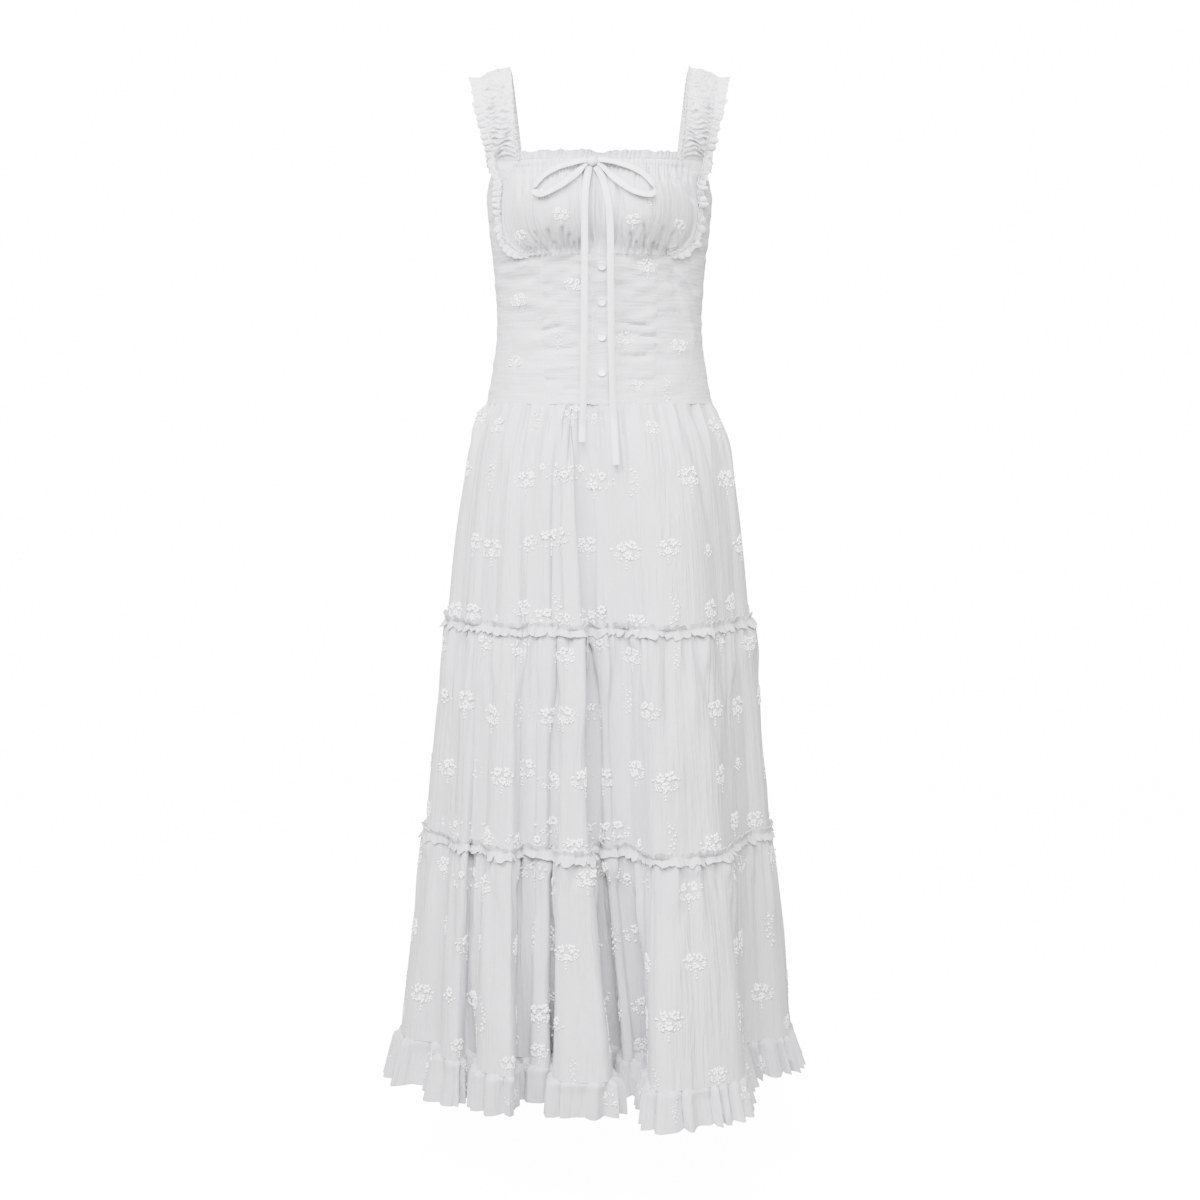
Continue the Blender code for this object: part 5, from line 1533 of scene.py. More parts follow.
def edge_frill(base, sideways, outwards, width, wave, pitch, seed, ways, lean=0.0):
    """Rows of a wavy frill along a line: base points, and how far each row goes sideways and outwards."""
    length = np.concatenate([[0.0], np.cumsum(np.linalg.norm(np.diff(base, axis=0), axis=1))])
    random = np.random.default_rng(seed)
    drift = sum(random.normal() * np.sin(k * length * 26 + random.uniform(0, 6)) / k for k in (1, 2, 3, 5))
    phase = 2 * math.pi * length / pitch + 1.8 * drift
    uneven = each_wave(phase, seed + 70)
    along = unit(np.gradient(base, axis=0))
    rows = []
    for way in ways:
        size = abs(way) if way > 0 or min(ways) < -0.9 else -1.3 * way
        lift = wave * uneven * size * (0.55 + 0.5 * np.cos(phase)) + lean * size
        shift = 0.22 * pitch * size * np.sin(phase)
        reach = width * way * (1 + 0.16 * (uneven - 1.0) + 0.05 * np.cos(phase))
        rows.append(base + sideways * reach[:, None] + outwards * lift[:, None] + along * shift[:, None])
    return np.stack(rows, axis=1)


def frill_base():
    """The line on which a strap's outer ruffle is sewn, from the back over the shoulder and down beside the cup."""
    _, outer, across, out = strap_frames(360)
    beside = through(CUP_RUFFLE_ROUTE, 170)
    angles = angle_at(beside[:, 0], beside[:, 1])
    surface, surface_out = bodice_surface(angles, beside[:, 1])
    along = unit(np.gradient(surface, axis=0))
    surface_side = np.cross(surface_out, along)
    surface_side = surface_side * np.sign(surface_side[:, :1])
    base = np.concatenate([(outer + across * 0.0004)[::-1][:-9], (surface + surface_out * 0.0017)[3:]])
    sideways = np.concatenate([across[::-1][:-9], surface_side[3:]])
    outwards = np.concatenate([out[::-1][:-9], surface_out[3:]])
    count = len(base)
    stations = np.linspace(0, count - 1, 560)
    smooth = []
    for rows in (base, sideways, outwards):
        kernel = np.hanning(15) / np.hanning(15).sum()
        padded = np.concatenate([np.repeat(rows[:1], 7, 0), rows, np.repeat(rows[-1:], 7, 0)])
        even = np.stack([np.convolve(padded[:, k], kernel, "valid") for k in range(3)], axis=1)
        smooth.append(np.stack([np.interp(stations, np.arange(count), even[:, k]) for k in range(3)], axis=1))
    return smooth[0], unit(smooth[1]), unit(smooth[2])


def make_strap_frills(side, word):
    """The wide outer ruffle with its small heading, down the strap and on round the cup."""
    sizes = bpy.context.scene.dress_sizes
    base, sideways, outwards = frill_base()
    share = np.linspace(0.0, 1.0, len(base))
    width = 0.0135 + (0.0088 - 0.0135) * smoothstep((share - 0.50) / 0.20)
    width = width * (1 - 0.75 * smoothstep((share - 0.955) / 0.045))
    ways = (-0.34, -0.24, -0.10, 0.0, 0.12, 0.32, 0.56, 0.80, 0.95, 1.0)
    grid = edge_frill(base, sideways, outwards, width, 0.0038, 0.0086, 3 + side, ways)
    grid = grid + (outwards * 0.0012)[:, None]
    thick = sizes.cloth
    obj = cloth_shell(f"outer_ruffle_{word}", mirrored(grid, side), lacy(), thickness=thick)
    stands_for(obj, f"strap_ruffle_{word}")


# Drawstring


def knot_place():
    x, z = np.array([KNOT_X]), np.array([KNOT_Z])
    place = bodice_point(angle_at(x, z), z)[0]
    return place + np.array([0.0, -KNOT_STANDS_OFF, 0.0])


def make_knot():
    """The bow's knot: a pinched core with one turn of the tape wrapped over it."""
    mesh = bmesh.new()
    bmesh.ops.create_uvsphere(mesh, u_segments=36, v_segments=22, radius=1.0)
    for v in mesh.verts:
        pinch = 1.0 - 0.26 * math.exp(-((v.co.x / 0.35) ** 2))
        groove = 1.0 - 0.07 * math.cos(16 * v.co.z + 5 * v.co.x) * math.exp(-((v.co.x / 0.8) ** 2))
        v.co = Vector((v.co.x * KNOT_RADII[0] * 0.93, v.co.y * KNOT_RADII[1] * 0.9 * pinch * groove,
                       v.co.z * KNOT_RADII[2] * 0.95 * pinch * groove))
    core_points = np.array([v.co for v in mesh.verts]) + knot_place()
    mesh.verts.index_update()
    core_faces = [tuple(v.index for v in f.verts) for f in mesh.faces]
    mesh.free()
    turn = np.linspace(0.0, 2 * math.pi, 49)[:-1]
    ring = np.stack([0.0006 * np.sin(turn), -0.0049 * np.cos(turn), 0.0052 * np.sin(turn)], axis=1)
    profile = np.array([(-0.0031, 0.0), (-0.0022, 0.0006), (0.0, 0.00085), (0.0022, 0.0006), (0.0031, 0.0),
                        (0.0022, -0.0006), (0.0, -0.0007), (-0.0022, -0.0006)])
    radial = unit(ring * np.array([0.0, 1.0, 1.0]))
    rings = ring[:, None] + np.array([1.0, 0, 0]) * profile[None, :, :1] + radial[:, None] * profile[None, :, 1:]
    count = len(profile)
    faces = []
    for i in range(len(turn)):
        for j in range(count):
            k, m = (j + 1) % count, (i + 1) % len(turn)
            faces.append((i * count + j, m * count + j, m * count + k, i * count + k))
    wrap = rings.reshape(-1, 3) + knot_place()
    obj = closed_piece("bow_knot", [(core_points, core_faces), (wrap, faces)], tape())
    return stands_for(obj, "tie_knot")


def tail_path(route, stations):
    knot = knot_place()
    flat = through(route, stations)
    x, z = flat[:, 0], flat[:, 1]
    under = np.maximum(z, WAIST_SEAM_Z)
    bodice_y = bodice_point(angle_at(x, under), under)[:, 1]
    skirt_y = oval(angle_at(x, z), z)[1] - GATHER_DEPTH
    y = np.minimum.accumulate(np.where(z > WAIST_SEAM_Z, bodice_y, skirt_y)) - TAIL_STANDS_OFF
    near = np.exp(-(((z - z[0]) / 0.014) ** 2))
    y = y * (1 - near) + knot[1] * near
    return np.stack([x, y, z], axis=1)


def loop_path(route, stations):
    knot = knot_place()
    flat = through(route, stations)
    surface = bodice_point(angle_at(flat[:, 0], flat[:, 1]), flat[:, 1])
    share = np.linspace(0.0, 1.0, len(flat))
    off = surface[:, 1] - LOOP_STANDS_OFF
    near = np.exp(-((np.minimum(share, 1 - share) / 0.10) ** 2))
    return np.stack([flat[:, 0], off * (1 - near) + knot[1] * near, flat[:, 1]], axis=1)


def make_ties():
    """The drawstring's knot, two loops and two free tails."""
    sizes = bpy.context.scene.dress_sizes
    knot = make_knot()
    for word, route, phase in (("right", TAIL_RIGHT, 0.0), ("left", TAIL_LEFT, 1.7)):
        path = tail_path(route, 110)
        t = np.linspace(0.0, 1.0, len(path))
        twist = 0.22 * np.sin(5.0 * t + phase) * smoothstep(t / 0.2)
        wide = np.stack([np.cos(twist), -np.sin(twist), np.zeros_like(t)], axis=1)
        obj = closed_piece(f"tail_{word}", [strip_mesh(path, wide, sizes.tie_width, 0.0011)], tape())
        stands_for(obj, f"tie_tail_{word}")
    for word, route in (("right", LOOP_RIGHT), ("left", LOOP_LEFT)):
        path = loop_path(route, 120)
        wide = np.tile(np.array([0.0, -0.60, -0.80]), (len(path), 1))
        obj = closed_piece(f"bow_loop_{word}", [strip_mesh(path, wide, sizes.tie_width, 0.0011)], tape())
        stands_for(obj, f"tie_loop_{word}")


# Embroidery and stitching, spread over the cloth


def spread_tree():
    """Copies a small shape onto each point, turned and stretched by the point's own attributes."""
    tree = bpy.data.node_groups.new("Spread over cloth", "GeometryNodeTree")
    input_of(tree, "Points", "NodeSocketGeometry")
    input_of(tree, "Shape", "NodeSocketObject")
    input_of(tree, "Size", "NodeSocketFloat", 1.0)
    input_of(tree, "Finish", "NodeSocketMaterial")
    tree.interface.new_socket("Pieces", in_out="OUTPUT", socket_type="NodeSocketGeometry")
    make = tree.nodes.new
    start, end = make("NodeGroupInput"), make("NodeGroupOutput")
    shape = make("GeometryNodeObjectInfo")
    turn = make("GeometryNodeInputNamedAttribute")
    stretch = make("GeometryNodeInputNamedAttribute")
    for node, name in ((turn, "turn"), (stretch, "stretch")):
        node.data_type = "FLOAT_VECTOR"
        node.inputs["Name"].default_value = name
    rotation = make("FunctionNodeEulerToRotation")
    scale = make("ShaderNodeVectorMath")
    scale.operation = "SCALE"
    copies = make("GeometryNodeInstanceOnPoints")
    realize = make("GeometryNodeRealizeInstances")
    finish = make("GeometryNodeSetMaterial")
    link = tree.links.new
    link(start.outputs["Shape"], shape.inputs["Object"])
    link(start.outputs["Points"], copies.inputs["Points"])
    link(shape.outputs["Geometry"], copies.inputs["Instance"])
    link(turn.outputs["Attribute"], rotation.inputs["Euler"])
    link(rotation.outputs["Rotation"], copies.inputs["Rotation"])
    link(stretch.outputs["Attribute"], scale.inputs[0])
    link(start.outputs["Size"], scale.inputs["Scale"])
    link(scale.outputs["Vector"], copies.inputs["Scale"])
    link(copies.outputs["Instances"], realize.inputs["Geometry"])
    link(realize.outputs["Geometry"], finish.inputs["Geometry"])
    link(start.outputs["Finish"], finish.inputs["Material"])
    link(finish.outputs["Geometry"], end.inputs["Pieces"])
    return tree


def spread(name, points, along, out, stretch, shape, size):
    """A mesh of copies of a shape: its X runs along, its Z points out of the cloth."""
    tree = bpy.data.node_groups.get("Spread over cloth") or spread_tree()
    x = unit(along - out * np.sum(along * out, axis=1, keepdims=True))
    y = np.cross(out, x)
    turn = [Matrix((a, b, c)).transposed().to_euler() for a, b, c in zip(x, y, out)]
    data = bpy.data.meshes.new(name + "_points")
    data.from_pydata(points.tolist(), [], [])
    for key, values in (("turn", np.array(turn)), ("stretch", stretch)):
        data.attributes.new(key, "FLOAT_VECTOR", "POINT").data.foreach_set("vector", np.asarray(values, np.float32).ravel())
    holder = bpy.data.objects.new(name + "_points", data)
    template = bpy.data.objects.new(name + "_shape", shape)
    for obj in (holder, template):
        bpy.context.scene.collection.objects.link(obj)
    modifier = holder.modifiers.new("spread", "NODES")
    modifier.node_group = tree
    values = {"Shape": template, "Size": size, "Finish": thread_material()}
    for item in tree.interface.items_tree:
        if item.in_out == "INPUT" and item.name in values:
            modifier[item.identifier] = values[item.name]
    bpy.context.view_layer.update()
    done = bpy.data.meshes.new_from_object(holder.evaluated_get(bpy.context.evaluated_depsgraph_get()))
    for obj in (holder, template):
        bpy.data.objects.remove(obj)
    done.name = name
    for key in ("turn", "stretch"):
        if key in done.attributes:
            done.attributes.remove(done.attributes[key])
    return stands_for(add_object(name, done, thread_material()))


def petal_shape():
    """A padded petal of unit length along X, from its narrow base at the origin to its round tip."""
    outline = [(0.0, 0.0), (0.34, 0.26), (0.74, 0.38), (1.0, 0.0), (0.74, -0.38), (0.34, -0.26)]
    count = len(outline)
    points = [(x, y, -0.12) for x, y in outline] + [(0.60, 0.0, 0.34)]
    faces = [tuple(reversed(range(count)))] + [(j, (j + 1) % count, count) for j in range(count)]
    data = bpy.data.meshes.new("petal")
    data.from_pydata(points, [], faces)
    outward(data)
    data.shade_smooth()
    return data


def stitch_shape():
    """One stitch of unit length along X, centred on the origin."""
    points = []
    for x, size in ((-0.5, 0.4), (0.0, 1.0), (0.5, 0.4)):
        points += [(x, -0.5 * size, -0.3), (x, 0.5 * size, -0.3), (x, 0.0, 0.6 * size)]
    faces = [(0, 1, 2), (8, 7, 6)]
    for i in range(2):
        for j in range(3):
            k = (j + 1) % 3
            faces.append((3 * i + j, 3 * i + 3 + j, 3 * i + 3 + k, 3 * i + k))
    data = bpy.data.meshes.new("stitch")
    data.from_pydata(points, [], faces)
    outward(data)
    data.shade_smooth()
    return data


def bouquet(random):
    """Small flowers, leaves and a stem: rows of place across, place down, turn and length, in millimetres."""
    petals = []
    heads = [(-5.6, -4.0, 8, 5.4), (5.6, -3.2, 8, 5.2), (0.2, 4.8, 8, 5.0), (-9.6, 4.6, 5, 3.6), (9.8, 5.0, 5, 3.6)]
    flip = random.choice((-1, 1))
    for x, y, count, length in heads:
        x, y = flip * x + random.uniform(-0.8, 0.8), y + random.uniform(-0.8, 0.8)
        start = random.uniform(0, 2 * math.pi)
        for k in range(count):
            turn = start + 2 * math.pi * k / count + random.uniform(-0.25, 0.25)
            petals.append((x, y, turn, length * random.uniform(0.7, 1.2)))
        petals.append((x - 1.0, y, 0.0, 2.2))
    for x, y, turn, length in ((-3.6, 10.4, 2.1, 5.0), (4.2, 10.6, 1.0, 5.0), (0.0, -8.8, -1.6, 5.4),
                               (-10.2, -2.6, 3.5, 4.6), (10.4, -1.6, -0.3, 4.6), (-3.4, -8.6, -2.1, 4.4),
                               (3.6, -8.2, -1.0, 4.4), (-6.8, 9.0, 2.5, 3.8), (7.2, 9.4, 0.6, 3.8)):
        petals.append((flip * x, y, turn if flip > 0 else math.pi - turn, length * random.uniform(0.8, 1.15)))
    for y in (12.5, 16.0, 19.0):
        petals.append((flip * 0.6, y, 1.57 + random.uniform(-0.3, 0.3), 3.6))
    for _ in range(6):
        away = random.uniform(8.0, 13.0)
        turn = random.uniform(0, 2 * math.pi)
        petals.append((away * math.cos(turn), 0.85 * away * math.sin(turn), turn, random.uniform(2.4, 4.0)))
    return petals


def spray(random):
    """A loose upright spray: leaves in turn on the two sides of a bent stem, with small buds."""
    petals = []
    bend = random.choice((-1, 1)) * random.uniform(1.0, 2.4)
    for k in range(9):
        y = -14.0 + 3.4 * k + random.uniform(-0.8, 0.8)
        x = bend * math.cos(0.22 * y)
        side = 1 if k % 2 else -1
        petals.append((x, y, -math.pi / 2 + side * random.uniform(0.5, 1.2), random.uniform(3.6, 5.6)))
        petals.append((x + side * random.uniform(3.0, 5.0), y - 3.0, random.uniform(0, 6.3), 2.6))
    return petals


def ring_flower(random):
    """One round flower with two small leaves under it."""
    start = random.uniform(0, 2 * math.pi)
    petals = [(0.0, 0.0, start + 2 * math.pi * k / 7, 5.6) for k in range(7)]
    petals += [(x, y, turn, 4.2) for x, y, turn in ((-2, 8, 2.4), (2, 8, 0.7), (-6, 5, 2.8), (6, 5, 0.3), (0, 11, 1.6))]
    return petals


def place_motif(motif, size, point_at, petals):
    """Adds a motif's petals to the lists, each laid on the cloth where it falls."""
    for across, down, turn, length in motif:
        point, out, right, low = point_at(across * 0.001 * size, down * 0.001 * size)
        along = right * math.cos(turn) + low * math.sin(turn)
        long = length * 0.001 * size
        petals.append((point + out * 0.0005, along, out, (long, long * 0.88, 0.0024)))


def skirt_spot(tier, share, z):
    """A function that gives the cloth's point, outward, rightward and downward directions near a place."""
    step = 0.002
    a, _ = sample(tier, share - step, z)
    b, _ = sample(tier, share + step, z)
    speed = np.linalg.norm(b - a) / (2 * step)

    def point_at(across, down):
        s, h = share + across / speed, z - down
        point, out = sample(tier, s, h)
        left, _ = sample(tier, s - 0.0015, h)
        right, _ = sample(tier, s + 0.0015, h)
        direction = unit(right - left)
        return point, out, direction, unit(np.cross(direction, out) * -1.0)

    return point_at


def bodice_spot(x0, z0, surface, sign=1.0):
    def point_at(across, down):
        x, z = x0 + across * 0.95, z0 - down
        point, out = surface(x, z)
        beside, _ = surface(x + 0.001 * sign, z)
        direction = unit(beside - point)
        return point, out, direction, unit(np.cross(direction, out) * -1.0)

    return point_at


def front_surface(x, z):
    """The cloth of the bodice's front at a half-breadth and a height, bust or panels."""
    edge = np.array(CUP_EDGE)
    cup_x = np.interp(-z, -edge[:, 1], edge[:, 0])
    low = UNDERBUST_Z - 0.0015 * (x / 0.087) ** 2
    if z > low and abs(x) < cup_x:
        point, out = bust_surface(np.array([x]), np.array([z]))
    else:
        point, out = bodice_surface(angle_at(np.array([x]), np.array([z])), np.array([z]))
    return point[0], out[0]


def back_surface(x, z):
    point, out = bodice_surface(math.pi - angle_at(np.array([x]), np.array([z])), np.array([z]))
    return point[0], out[0]


def make_embroidery():
    """White sprigs all over the cloth: bouquets, upright sprays and round flowers, in staggered rows."""
    random = np.random.default_rng(77)
    petals = []
    for row, (name, z, count, first, size) in enumerate(SPRIG_ROWS):
        tier = skirt_cloth()[name]
        for k in range(count):
            share = first + (k + random.uniform(-0.18, 0.18)) / count
            height = z + random.uniform(-0.010, 0.010)
            motif = bouquet(random)
            if (k + row) % 6 == 2:
                motif = spray(random)
            elif (k + row) % 7 == 5:
                motif = ring_flower(random)
            place_motif(motif, size * random.uniform(0.9, 1.1), skirt_spot(tier, share, height), petals)
    points, along, out, stretch = (np.array(x) for x in zip(*petals))
    spread("skirt_embroidery", points, along, out, stretch, petal_shape(), 1.0)
    petals = []
    for number, (x, z, size) in enumerate(BODICE_SPRIGS):
        motif = spray(random) if number % 4 == 3 else bouquet(random)
        place_motif(motif, size, bodice_spot(x, z, front_surface), petals)
    for z in (-0.200, -0.262, -0.324, -0.386):
        for k in range(5):
            x = (k - 2) * 0.048 + (0.012 if z in (-0.262, -0.386) else -0.010)
            motif = spray(random) if (k + round(z * 100)) % 3 == 0 else bouquet(random)
            place_motif(motif, 0.9, bodice_spot(x, z, back_surface, -1.0), petals)
    points, along, out, stretch = (np.array(x) for x in zip(*petals))
    spread("bodice_embroidery", points, along, out, stretch, petal_shape(), 1.0)


def stitch_line(path, out, pitch):
    """Points, directions and outward directions of stitches evenly along a path."""
    length = np.concatenate([[0.0], np.cumsum(np.linalg.norm(np.diff(path, axis=0), axis=1))])
    count = max(int(length[-1] / pitch), 2)
    at = (np.arange(count) + 0.5) * length[-1] / count
    points = np.stack([np.interp(at, length, path[:, k]) for k in range(3)], axis=1)
    outs = unit(np.stack([np.interp(at, length, out[:, k]) for k in range(3)], axis=1))
    along = unit(np.gradient(points, axis=0))
    return points + outs * 0.0001, along, outs


def bodice_line(xs, zs, surface=None):
    """A path on the bodice's front through half-breadths and heights."""
    if surface is None:
        points, out = bodice_surface(angle_at(xs, zs), zs)
    else:
        points, out = surface(xs, zs)
    return points, out


def make_stitches():
    """Rows of top stitching along the seams, the drawstring channel, the placket and the frills."""
    lines = []
    pitch = bpy.context.scene.dress_sizes.stitch
    x = np.linspace(-0.100, 0.100, 200)
    for z in (NECK_Z - 0.0016, NECK_Z - 0.0098):
        lines.append((*bodice_line(x, np.full_like(x, z), bust_surface), pitch))
    edge = stretched(PRINCESS_SEAM, 120)
    for side in (-1, 1):
        for off in (0.0018, -0.0060):
            xs = side * (edge[:, 0] + off)
            lines.append((*bodice_line(xs, edge[:, 1] - 0.001), pitch))
    for side in (-0.82, 0.82):
        z = np.linspace(UNDERBUST_Z - 0.002, WAIST_SEAM_Z + 0.002, 160)
        points, out = bodice_line(PLACKET_HALF_WIDTH * side + 0.0004 * np.sin(70 * z), z)
        lines.append((points + out * 0.0022, out, pitch))
    for z in (UNDERBUST_Z - 0.0022,):
        for side in (-1, 1):
            xs = side * np.linspace(0.013, 0.084, 90)
            zs = z - 0.0015 * (xs / 0.087) ** 2
            lines.append((*bodice_line(xs, zs), pitch))
    angle = np.linspace(0.0, 2 * math.pi, 600)
    points, out = bodice_surface(angle, np.full_like(angle, WAIST_SEAM_Z + 0.0016))
    lines.append((points, out, pitch))
    angle = np.linspace(math.pi / 2, 3 * math.pi / 2, 300)
    points, out = bodice_surface(angle, back_top(angle) - 0.0030)
    lines.append((points, out, pitch))
    for side in (-1, 1):
        arm = stretched(ARMHOLE, 60)
        points, out = bodice_surface(side * np.radians(arm[:, 0] - 1.2), arm[:, 1] - 0.0030)
        lines.append((points, out, pitch))
        for share in (0.06, 0.94):
            top, _, out, _, _ = strap_surface(400, [share])
            route = top[:, 0] * np.array([side, 1, 1])
            lines.append((route, out * np.array([side, 1, 1]), pitch * 0.8))
    rows = [stitch_line(*line) for line in lines]
    points, along, out = (np.concatenate([row[k] for row in rows]) for k in range(3))
    stretch = np.tile(np.array([pitch * 0.78, 0.00055, 0.00045]), (len(points), 1))
    spread("top_stitching", points, along, out, stretch, stitch_shape(), 1.0)


# Stage


def area_light(name, place, target, size, power, colour=(1.0, 1.0, 1.0)):
    light = bpy.data.lights.new(name, "AREA")
    light.shape = "RECTANGLE"
    light.size, light.size_y = size
    light.energy = power
    light.color = colour
    obj = bpy.data.objects.new(name, light)
    obj.location = place
    obj.rotation_euler = (Vector(target) - Vector(place)).to_track_quat("-Z", "Y").to_euler()
    bpy.context.scene.collection.objects.link(obj)


def make_camera():
    """The photograph's view: level with the waist seam, its frame moved down by a lens shift."""
    view = IMAGE_SIZE * PIXEL
    camera = bpy.data.cameras.new("camera")
    camera.sensor_width = SENSOR * 1000
    camera.lens = SENSOR * 1000 * CAMERA_DISTANCE / view
    camera.shift_y = (LEVEL_PX - IMAGE_SIZE / 2) * PIXEL / view
    camera.clip_end = 50.0
    obj = bpy.data.objects.new("camera", camera)
    obj.location = ((IMAGE_SIZE / 2 - CENTRE_PX) * PIXEL, -CAMERA_DISTANCE, LEVEL_Z)
    obj.rotation_euler = (math.radians(90), 0.0, 0.0)
    bpy.context.scene.collection.objects.link(obj)
    bpy.context.scene.camera = obj


def make_floor():
    """A pale seamless sweep: a floor that turns up into a wall behind the dress."""
    look = bpy.context.scene.dress_looks
    floor = bpy.context.scene.dress_sizes.floor
    profile = [(-6.0, floor)]
    bend = 1.2
    for k in range(13):
        turn = math.pi / 2 * k / 12
        profile.append((2.6 + bend * math.sin(turn), floor + bend * (1 - math.cos(turn))))
    profile.append((2.6 + bend, 5.0))
    points = [(x, y, z) for x in (-7.0, 7.0) for y, z in profile]
    count = len(profile)
    faces = [(i, count + i, count + i + 1, i + 1) for i in range(count - 1)]
    data = bpy.data.meshes.new("sweep")
    data.from_pydata(points, [], faces)
    data.shade_smooth()
    material = bpy.data.materials.new("pale_sweep")
    material.use_nodes = True
    shader = material.node_tree.nodes["Principled BSDF"]
    shader.inputs["Base Color"].default_value = look.floor
    shader.inputs["Roughness"].default_value = 0.9
    shader.inputs["Emission Color"].default_value = (1.0, 1.0, 1.0, 1.0)
    shader.inputs["Emission Strength"].default_value = look.floor_glow
    sweep = add_object("sweep", data, material)
    sweep.visible_diffuse = False
    sweep.visible_glossy = False


def make_lights():
    look = bpy.context.scene.dress_looks
    world = bpy.data.worlds.new("studio")
    bpy.context.scene.world = world
    world.use_nodes = True
    sky = world.node_tree.nodes["Background"]
    sky.inputs["Color"].default_value = (1.0, 0.98, 0.955, 1.0)
    sky.inputs["Strength"].default_value = look.ambient
    area_light("key", (-2.2, -2.1, 1.4), (0.0, 0.0, -0.4), (1.0, 1.0), look.key, (0.97, 0.98, 1.0))
    area_light("front", (0.2, -3.3, 0.9), (0.0, 0.0, -0.4), (1.2, 1.2), look.front)
    area_light("fill", (2.6, -2.0, 0.4), (0.0, 0.0, -0.4), (2.0, 2.0), look.fill)
    area_light("top", (-0.3, -1.6, 1.2), (0.0, 0.0, -0.3), (1.2, 1.2), look.top, (0.95, 0.97, 1.0))


# Sizes, colours and steps


class DressSizes(bpy.types.PropertyGroup):
    """Sizes that a maker could change."""

    cloth: bpy.props.FloatProperty(name="Cloth", description="Thickness of the cotton", default=0.0007,
                                   min=0.0003, max=0.0015, unit="LENGTH", precision=4)
    seam_frill_wave: bpy.props.FloatProperty(name="Seam frill wave", description="How far a seam frill's edges stand off",
                                             default=0.0042, unit="LENGTH", precision=4)
    hem_wave: bpy.props.FloatProperty(name="Hem wave", description="Half the depth of the hem ruffle's pleats",
                                      default=0.0072, unit="LENGTH", precision=4)
    hem_flare: bpy.props.FloatProperty(name="Hem flare", description="How far the hem ruffle stands out at its edge",
                                       default=0.0125, unit="LENGTH", precision=4)
    hem_pleats: bpy.props.IntProperty(name="Hem pleats", description="Pleats round the hem ruffle", default=168)
    neck_wave: bpy.props.FloatProperty(name="Neck wave", description="Half the depth of the neck heading's waves",
                                       default=0.0020, unit="LENGTH", precision=4)
    tie_width: bpy.props.FloatProperty(name="Tie width", description="Width of the drawstring's tape",
                                       default=TIE_WIDTH, unit="LENGTH", precision=4)
    stitch: bpy.props.FloatProperty(name="Stitch", description="Length of one top stitch with its gap",
                                    default=0.0030, unit="LENGTH", precision=4)
    floor: bpy.props.FloatProperty(name="Floor", description="Height of the floor under the hanging dress",
                                   default=-1.42, unit="LENGTH")


class DressLooks(bpy.types.PropertyGroup):
    """Colours and light."""

    cotton: bpy.props.FloatVectorProperty(name="Cotton", description="Colour of the cotton", subtype="COLOR", size=4,
                                          default=(0.505, 0.505, 0.522, 1.0), min=0.0, max=1.0)
    cotton_shade: bpy.props.FloatVectorProperty(name="Cotton shade", description="Colour between the threads",
                                                subtype="COLOR", size=4, default=(0.445, 0.445, 0.462, 1.0), min=0.0, max=1.0)
    strap: bpy.props.FloatVectorProperty(name="Strap", description="Colour of the straps, their ruffles and the ties",
                                         subtype="COLOR", size=4, default=(0.62, 0.62, 0.64, 1.0), min=0.0, max=1.0)
    thread: bpy.props.FloatVectorProperty(name="Thread", description="Colour of embroidery and stitches",
                                          subtype="COLOR", size=4, default=(0.98, 0.98, 0.98, 1.0), min=0.0, max=1.0)
    button: bpy.props.FloatVectorProperty(name="Button", description="Colour of the buttons", subtype="COLOR", size=4,
                                          default=(0.80, 0.80, 0.88, 1.0), min=0.0, max=1.0)
    floor: bpy.props.FloatVectorProperty(name="Floor", description="Colour of the floor", subtype="COLOR", size=4,
                                         default=(0.92, 0.92, 0.92, 1.0), min=0.0, max=1.0)
    floor_glow: bpy.props.FloatProperty(name="Floor glow", description="Light that the backdrop gives off", default=14.0)
    ambient: bpy.props.FloatProperty(name="Ambient", description="Even light from all round", default=0.95)
    key: bpy.props.FloatProperty(name="Key light", description="Power of the main light", default=205.0, unit="POWER")
    front: bpy.props.FloatProperty(name="Front light", description="Power of the light by the camera", default=185.0,
                                   unit="POWER")
    fill: bpy.props.FloatProperty(name="Fill light", description="Power of the second light", default=62.0, unit="POWER")
    top: bpy.props.FloatProperty(name="Top light", description="Power of the light above", default=205.0, unit="POWER")


class DRESS_OT_stage(bpy.types.Operator):
    """Sets up the camera, the pale sweep and the soft studio light"""

    bl_idname = "dress.stage"
    bl_label = "Camera, floor and light"

    def execute(self, context):
        make_camera()
        make_floor()
        make_lights()
        return {"FINISHED"}


class DRESS_OT_ties(bpy.types.Operator):
    """Makes the drawstring's bow and its two free tails"""

    bl_idname = "dress.ties"
    bl_label = "Drawstring ties"

    def execute(self, context):
        make_ties()
        return {"FINISHED"}


class DRESS_OT_tiers(bpy.types.Operator):
    """Makes the skirt's three gathered tiers"""

    bl_idname = "dress.tiers"
    bl_label = "Skirt tiers"

    def execute(self, context):
        make_tiers()
        return {"FINISHED"}


class DRESS_OT_frills(bpy.types.Operator):
    """Makes the two seam frills and the hem ruffle"""

    bl_idname = "dress.frills"
    bl_label = "Seam frills and hem ruffle"

    def execute(self, context):
        skirt = skirt_cloth()
        make_seam_frill("tier_frill_upper", "seam_frill_upper", skirt["upper_tier"], skirt["middle_tier"],
                        TIER_SEAM_1_Z, 120, 41)
        make_seam_frill("tier_frill_lower", "seam_frill_lower", skirt["middle_tier"], skirt["lower_tier"],
                        TIER_SEAM_2_Z, 170, 45)
        make_hem_ruffle()
        return {"FINISHED"}


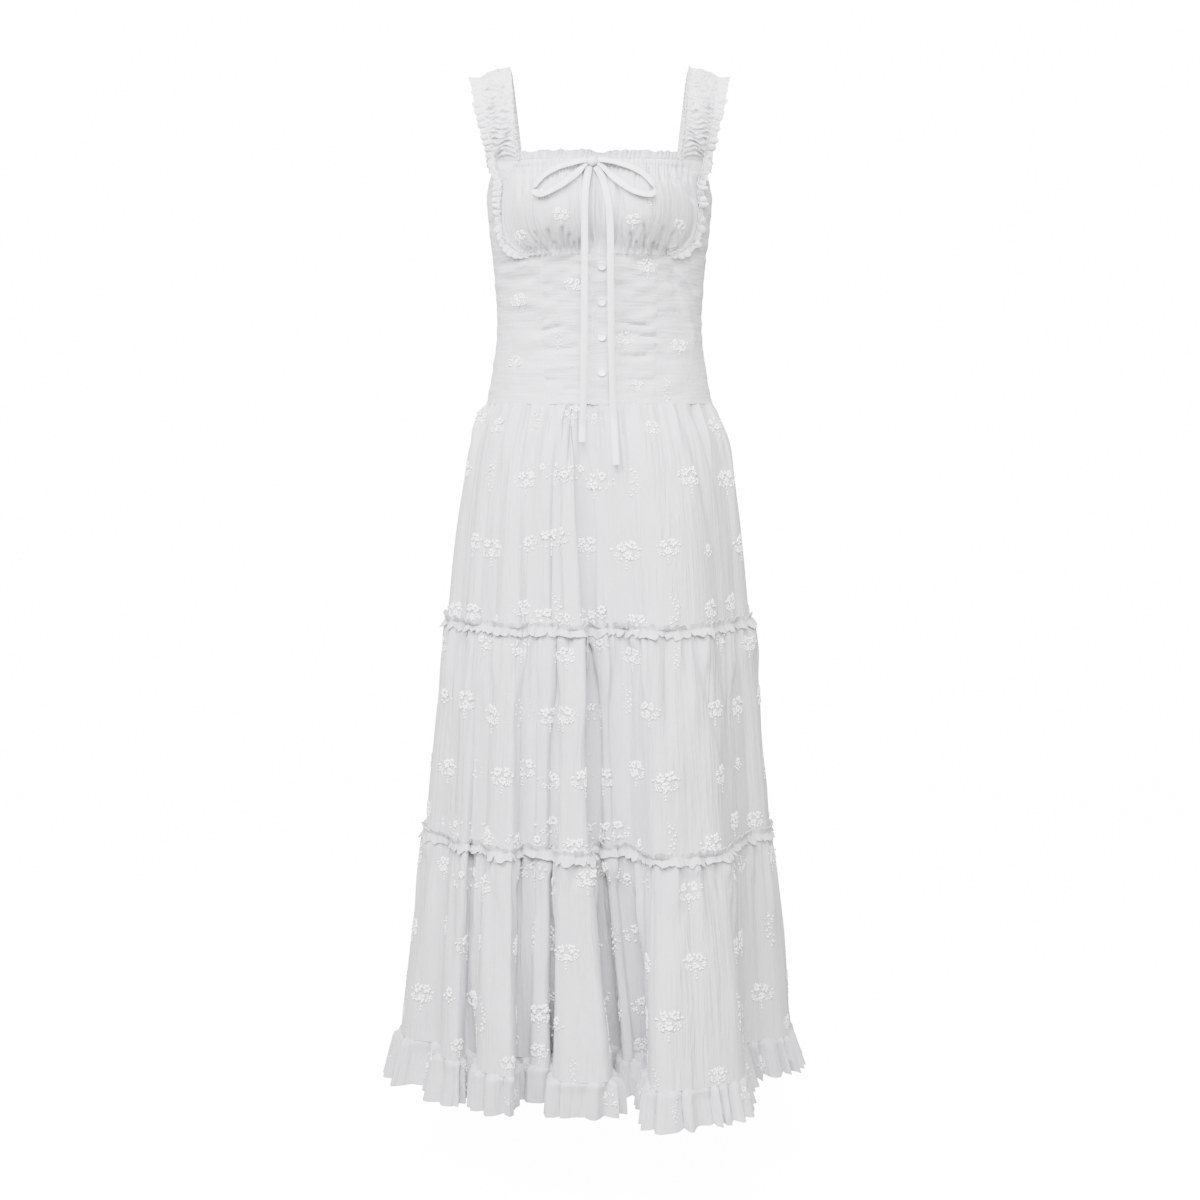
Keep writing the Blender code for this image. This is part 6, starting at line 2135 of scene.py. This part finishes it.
class DRESS_OT_bust(bpy.types.Operator):
    """Makes the gathered bust and the heading above its drawstring channel"""

    bl_idname = "dress.bust"
    bl_label = "Gathered bust"

    def execute(self, context):
        make_bust()
        make_neck_frill()
        return {"FINISHED"}


class DRESS_OT_bodice(bpy.types.Operator):
    """Makes the bodice's front, side and back panels and the button placket"""

    bl_idname = "dress.bodice"
    bl_label = "Bodice panels"

    def execute(self, context):
        for side, word in ((-1, "right"), (1, "left")):
            make_side_front(side, word)
            make_centre_front(side, word)
        make_back()
        make_placket()
        return {"FINISHED"}


class DRESS_OT_straps(bpy.types.Operator):
    """Makes the ruched straps and their ruffles"""

    bl_idname = "dress.straps"
    bl_label = "Straps and ruffles"

    def execute(self, context):
        for side, word in ((-1, "right"), (1, "left")):
            make_strap(side, word)
            make_strap_frills(side, word)
        return {"FINISHED"}


class DRESS_OT_buttons(bpy.types.Operator):
    """Makes the four sewn-on buttons"""

    bl_idname = "dress.buttons"
    bl_label = "Buttons"

    def execute(self, context):
        make_buttons()
        return {"FINISHED"}


class DRESS_OT_embroidery(bpy.types.Operator):
    """Spreads the white embroidered sprigs over the cloth"""

    bl_idname = "dress.embroidery"
    bl_label = "Embroidered sprigs"

    def execute(self, context):
        make_embroidery()
        return {"FINISHED"}


class DRESS_OT_stitches(bpy.types.Operator):
    """Sews the rows of top stitching"""

    bl_idname = "dress.stitches"
    bl_label = "Top stitching"

    def execute(self, context):
        make_stitches()
        return {"FINISHED"}


STEPS = ["stage", "ties", "tiers", "frills", "bust", "bodice", "straps", "buttons", "embroidery", "stitches"]


class DRESS_PT_panel(bpy.types.Panel):
    """Lists the dress's pieces, sizes and colours in the sidebar"""

    bl_idname = "DRESS_PT_panel"
    bl_label = "Tiered dress"
    bl_space_type = "VIEW_3D"
    bl_region_type = "UI"
    bl_category = "Dress"

    def draw(self, context):
        for group in (context.scene.dress_sizes, context.scene.dress_looks):
            for name in group.__annotations__:
                self.layout.prop(group, name)
        for step in STEPS:
            self.layout.operator(f"dress.{step}")


CLASSES = [DressSizes, DressLooks, DRESS_OT_stage, DRESS_OT_ties, DRESS_OT_tiers, DRESS_OT_frills, DRESS_OT_bust,
           DRESS_OT_bodice, DRESS_OT_straps, DRESS_OT_buttons, DRESS_OT_embroidery, DRESS_OT_stitches, DRESS_PT_panel]


def register():
    for cls in CLASSES:
        bpy.utils.register_class(cls)
    bpy.types.Scene.dress_sizes = bpy.props.PointerProperty(type=DressSizes)
    bpy.types.Scene.dress_looks = bpy.props.PointerProperty(type=DressLooks)


def unregister():
    del bpy.types.Scene.dress_looks
    del bpy.types.Scene.dress_sizes
    for cls in reversed(CLASSES):
        bpy.utils.unregister_class(cls)


def plain(corners):
    """A box's two corners as plain lists of numbers."""
    return [[float(c) for c in corner] for corner in corners]


def main():
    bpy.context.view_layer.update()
    register()
    for step in STEPS:
        getattr(bpy.ops.dress, step)()
    bpy.context.view_layer.update()


if __name__ == "__main__":
    main()
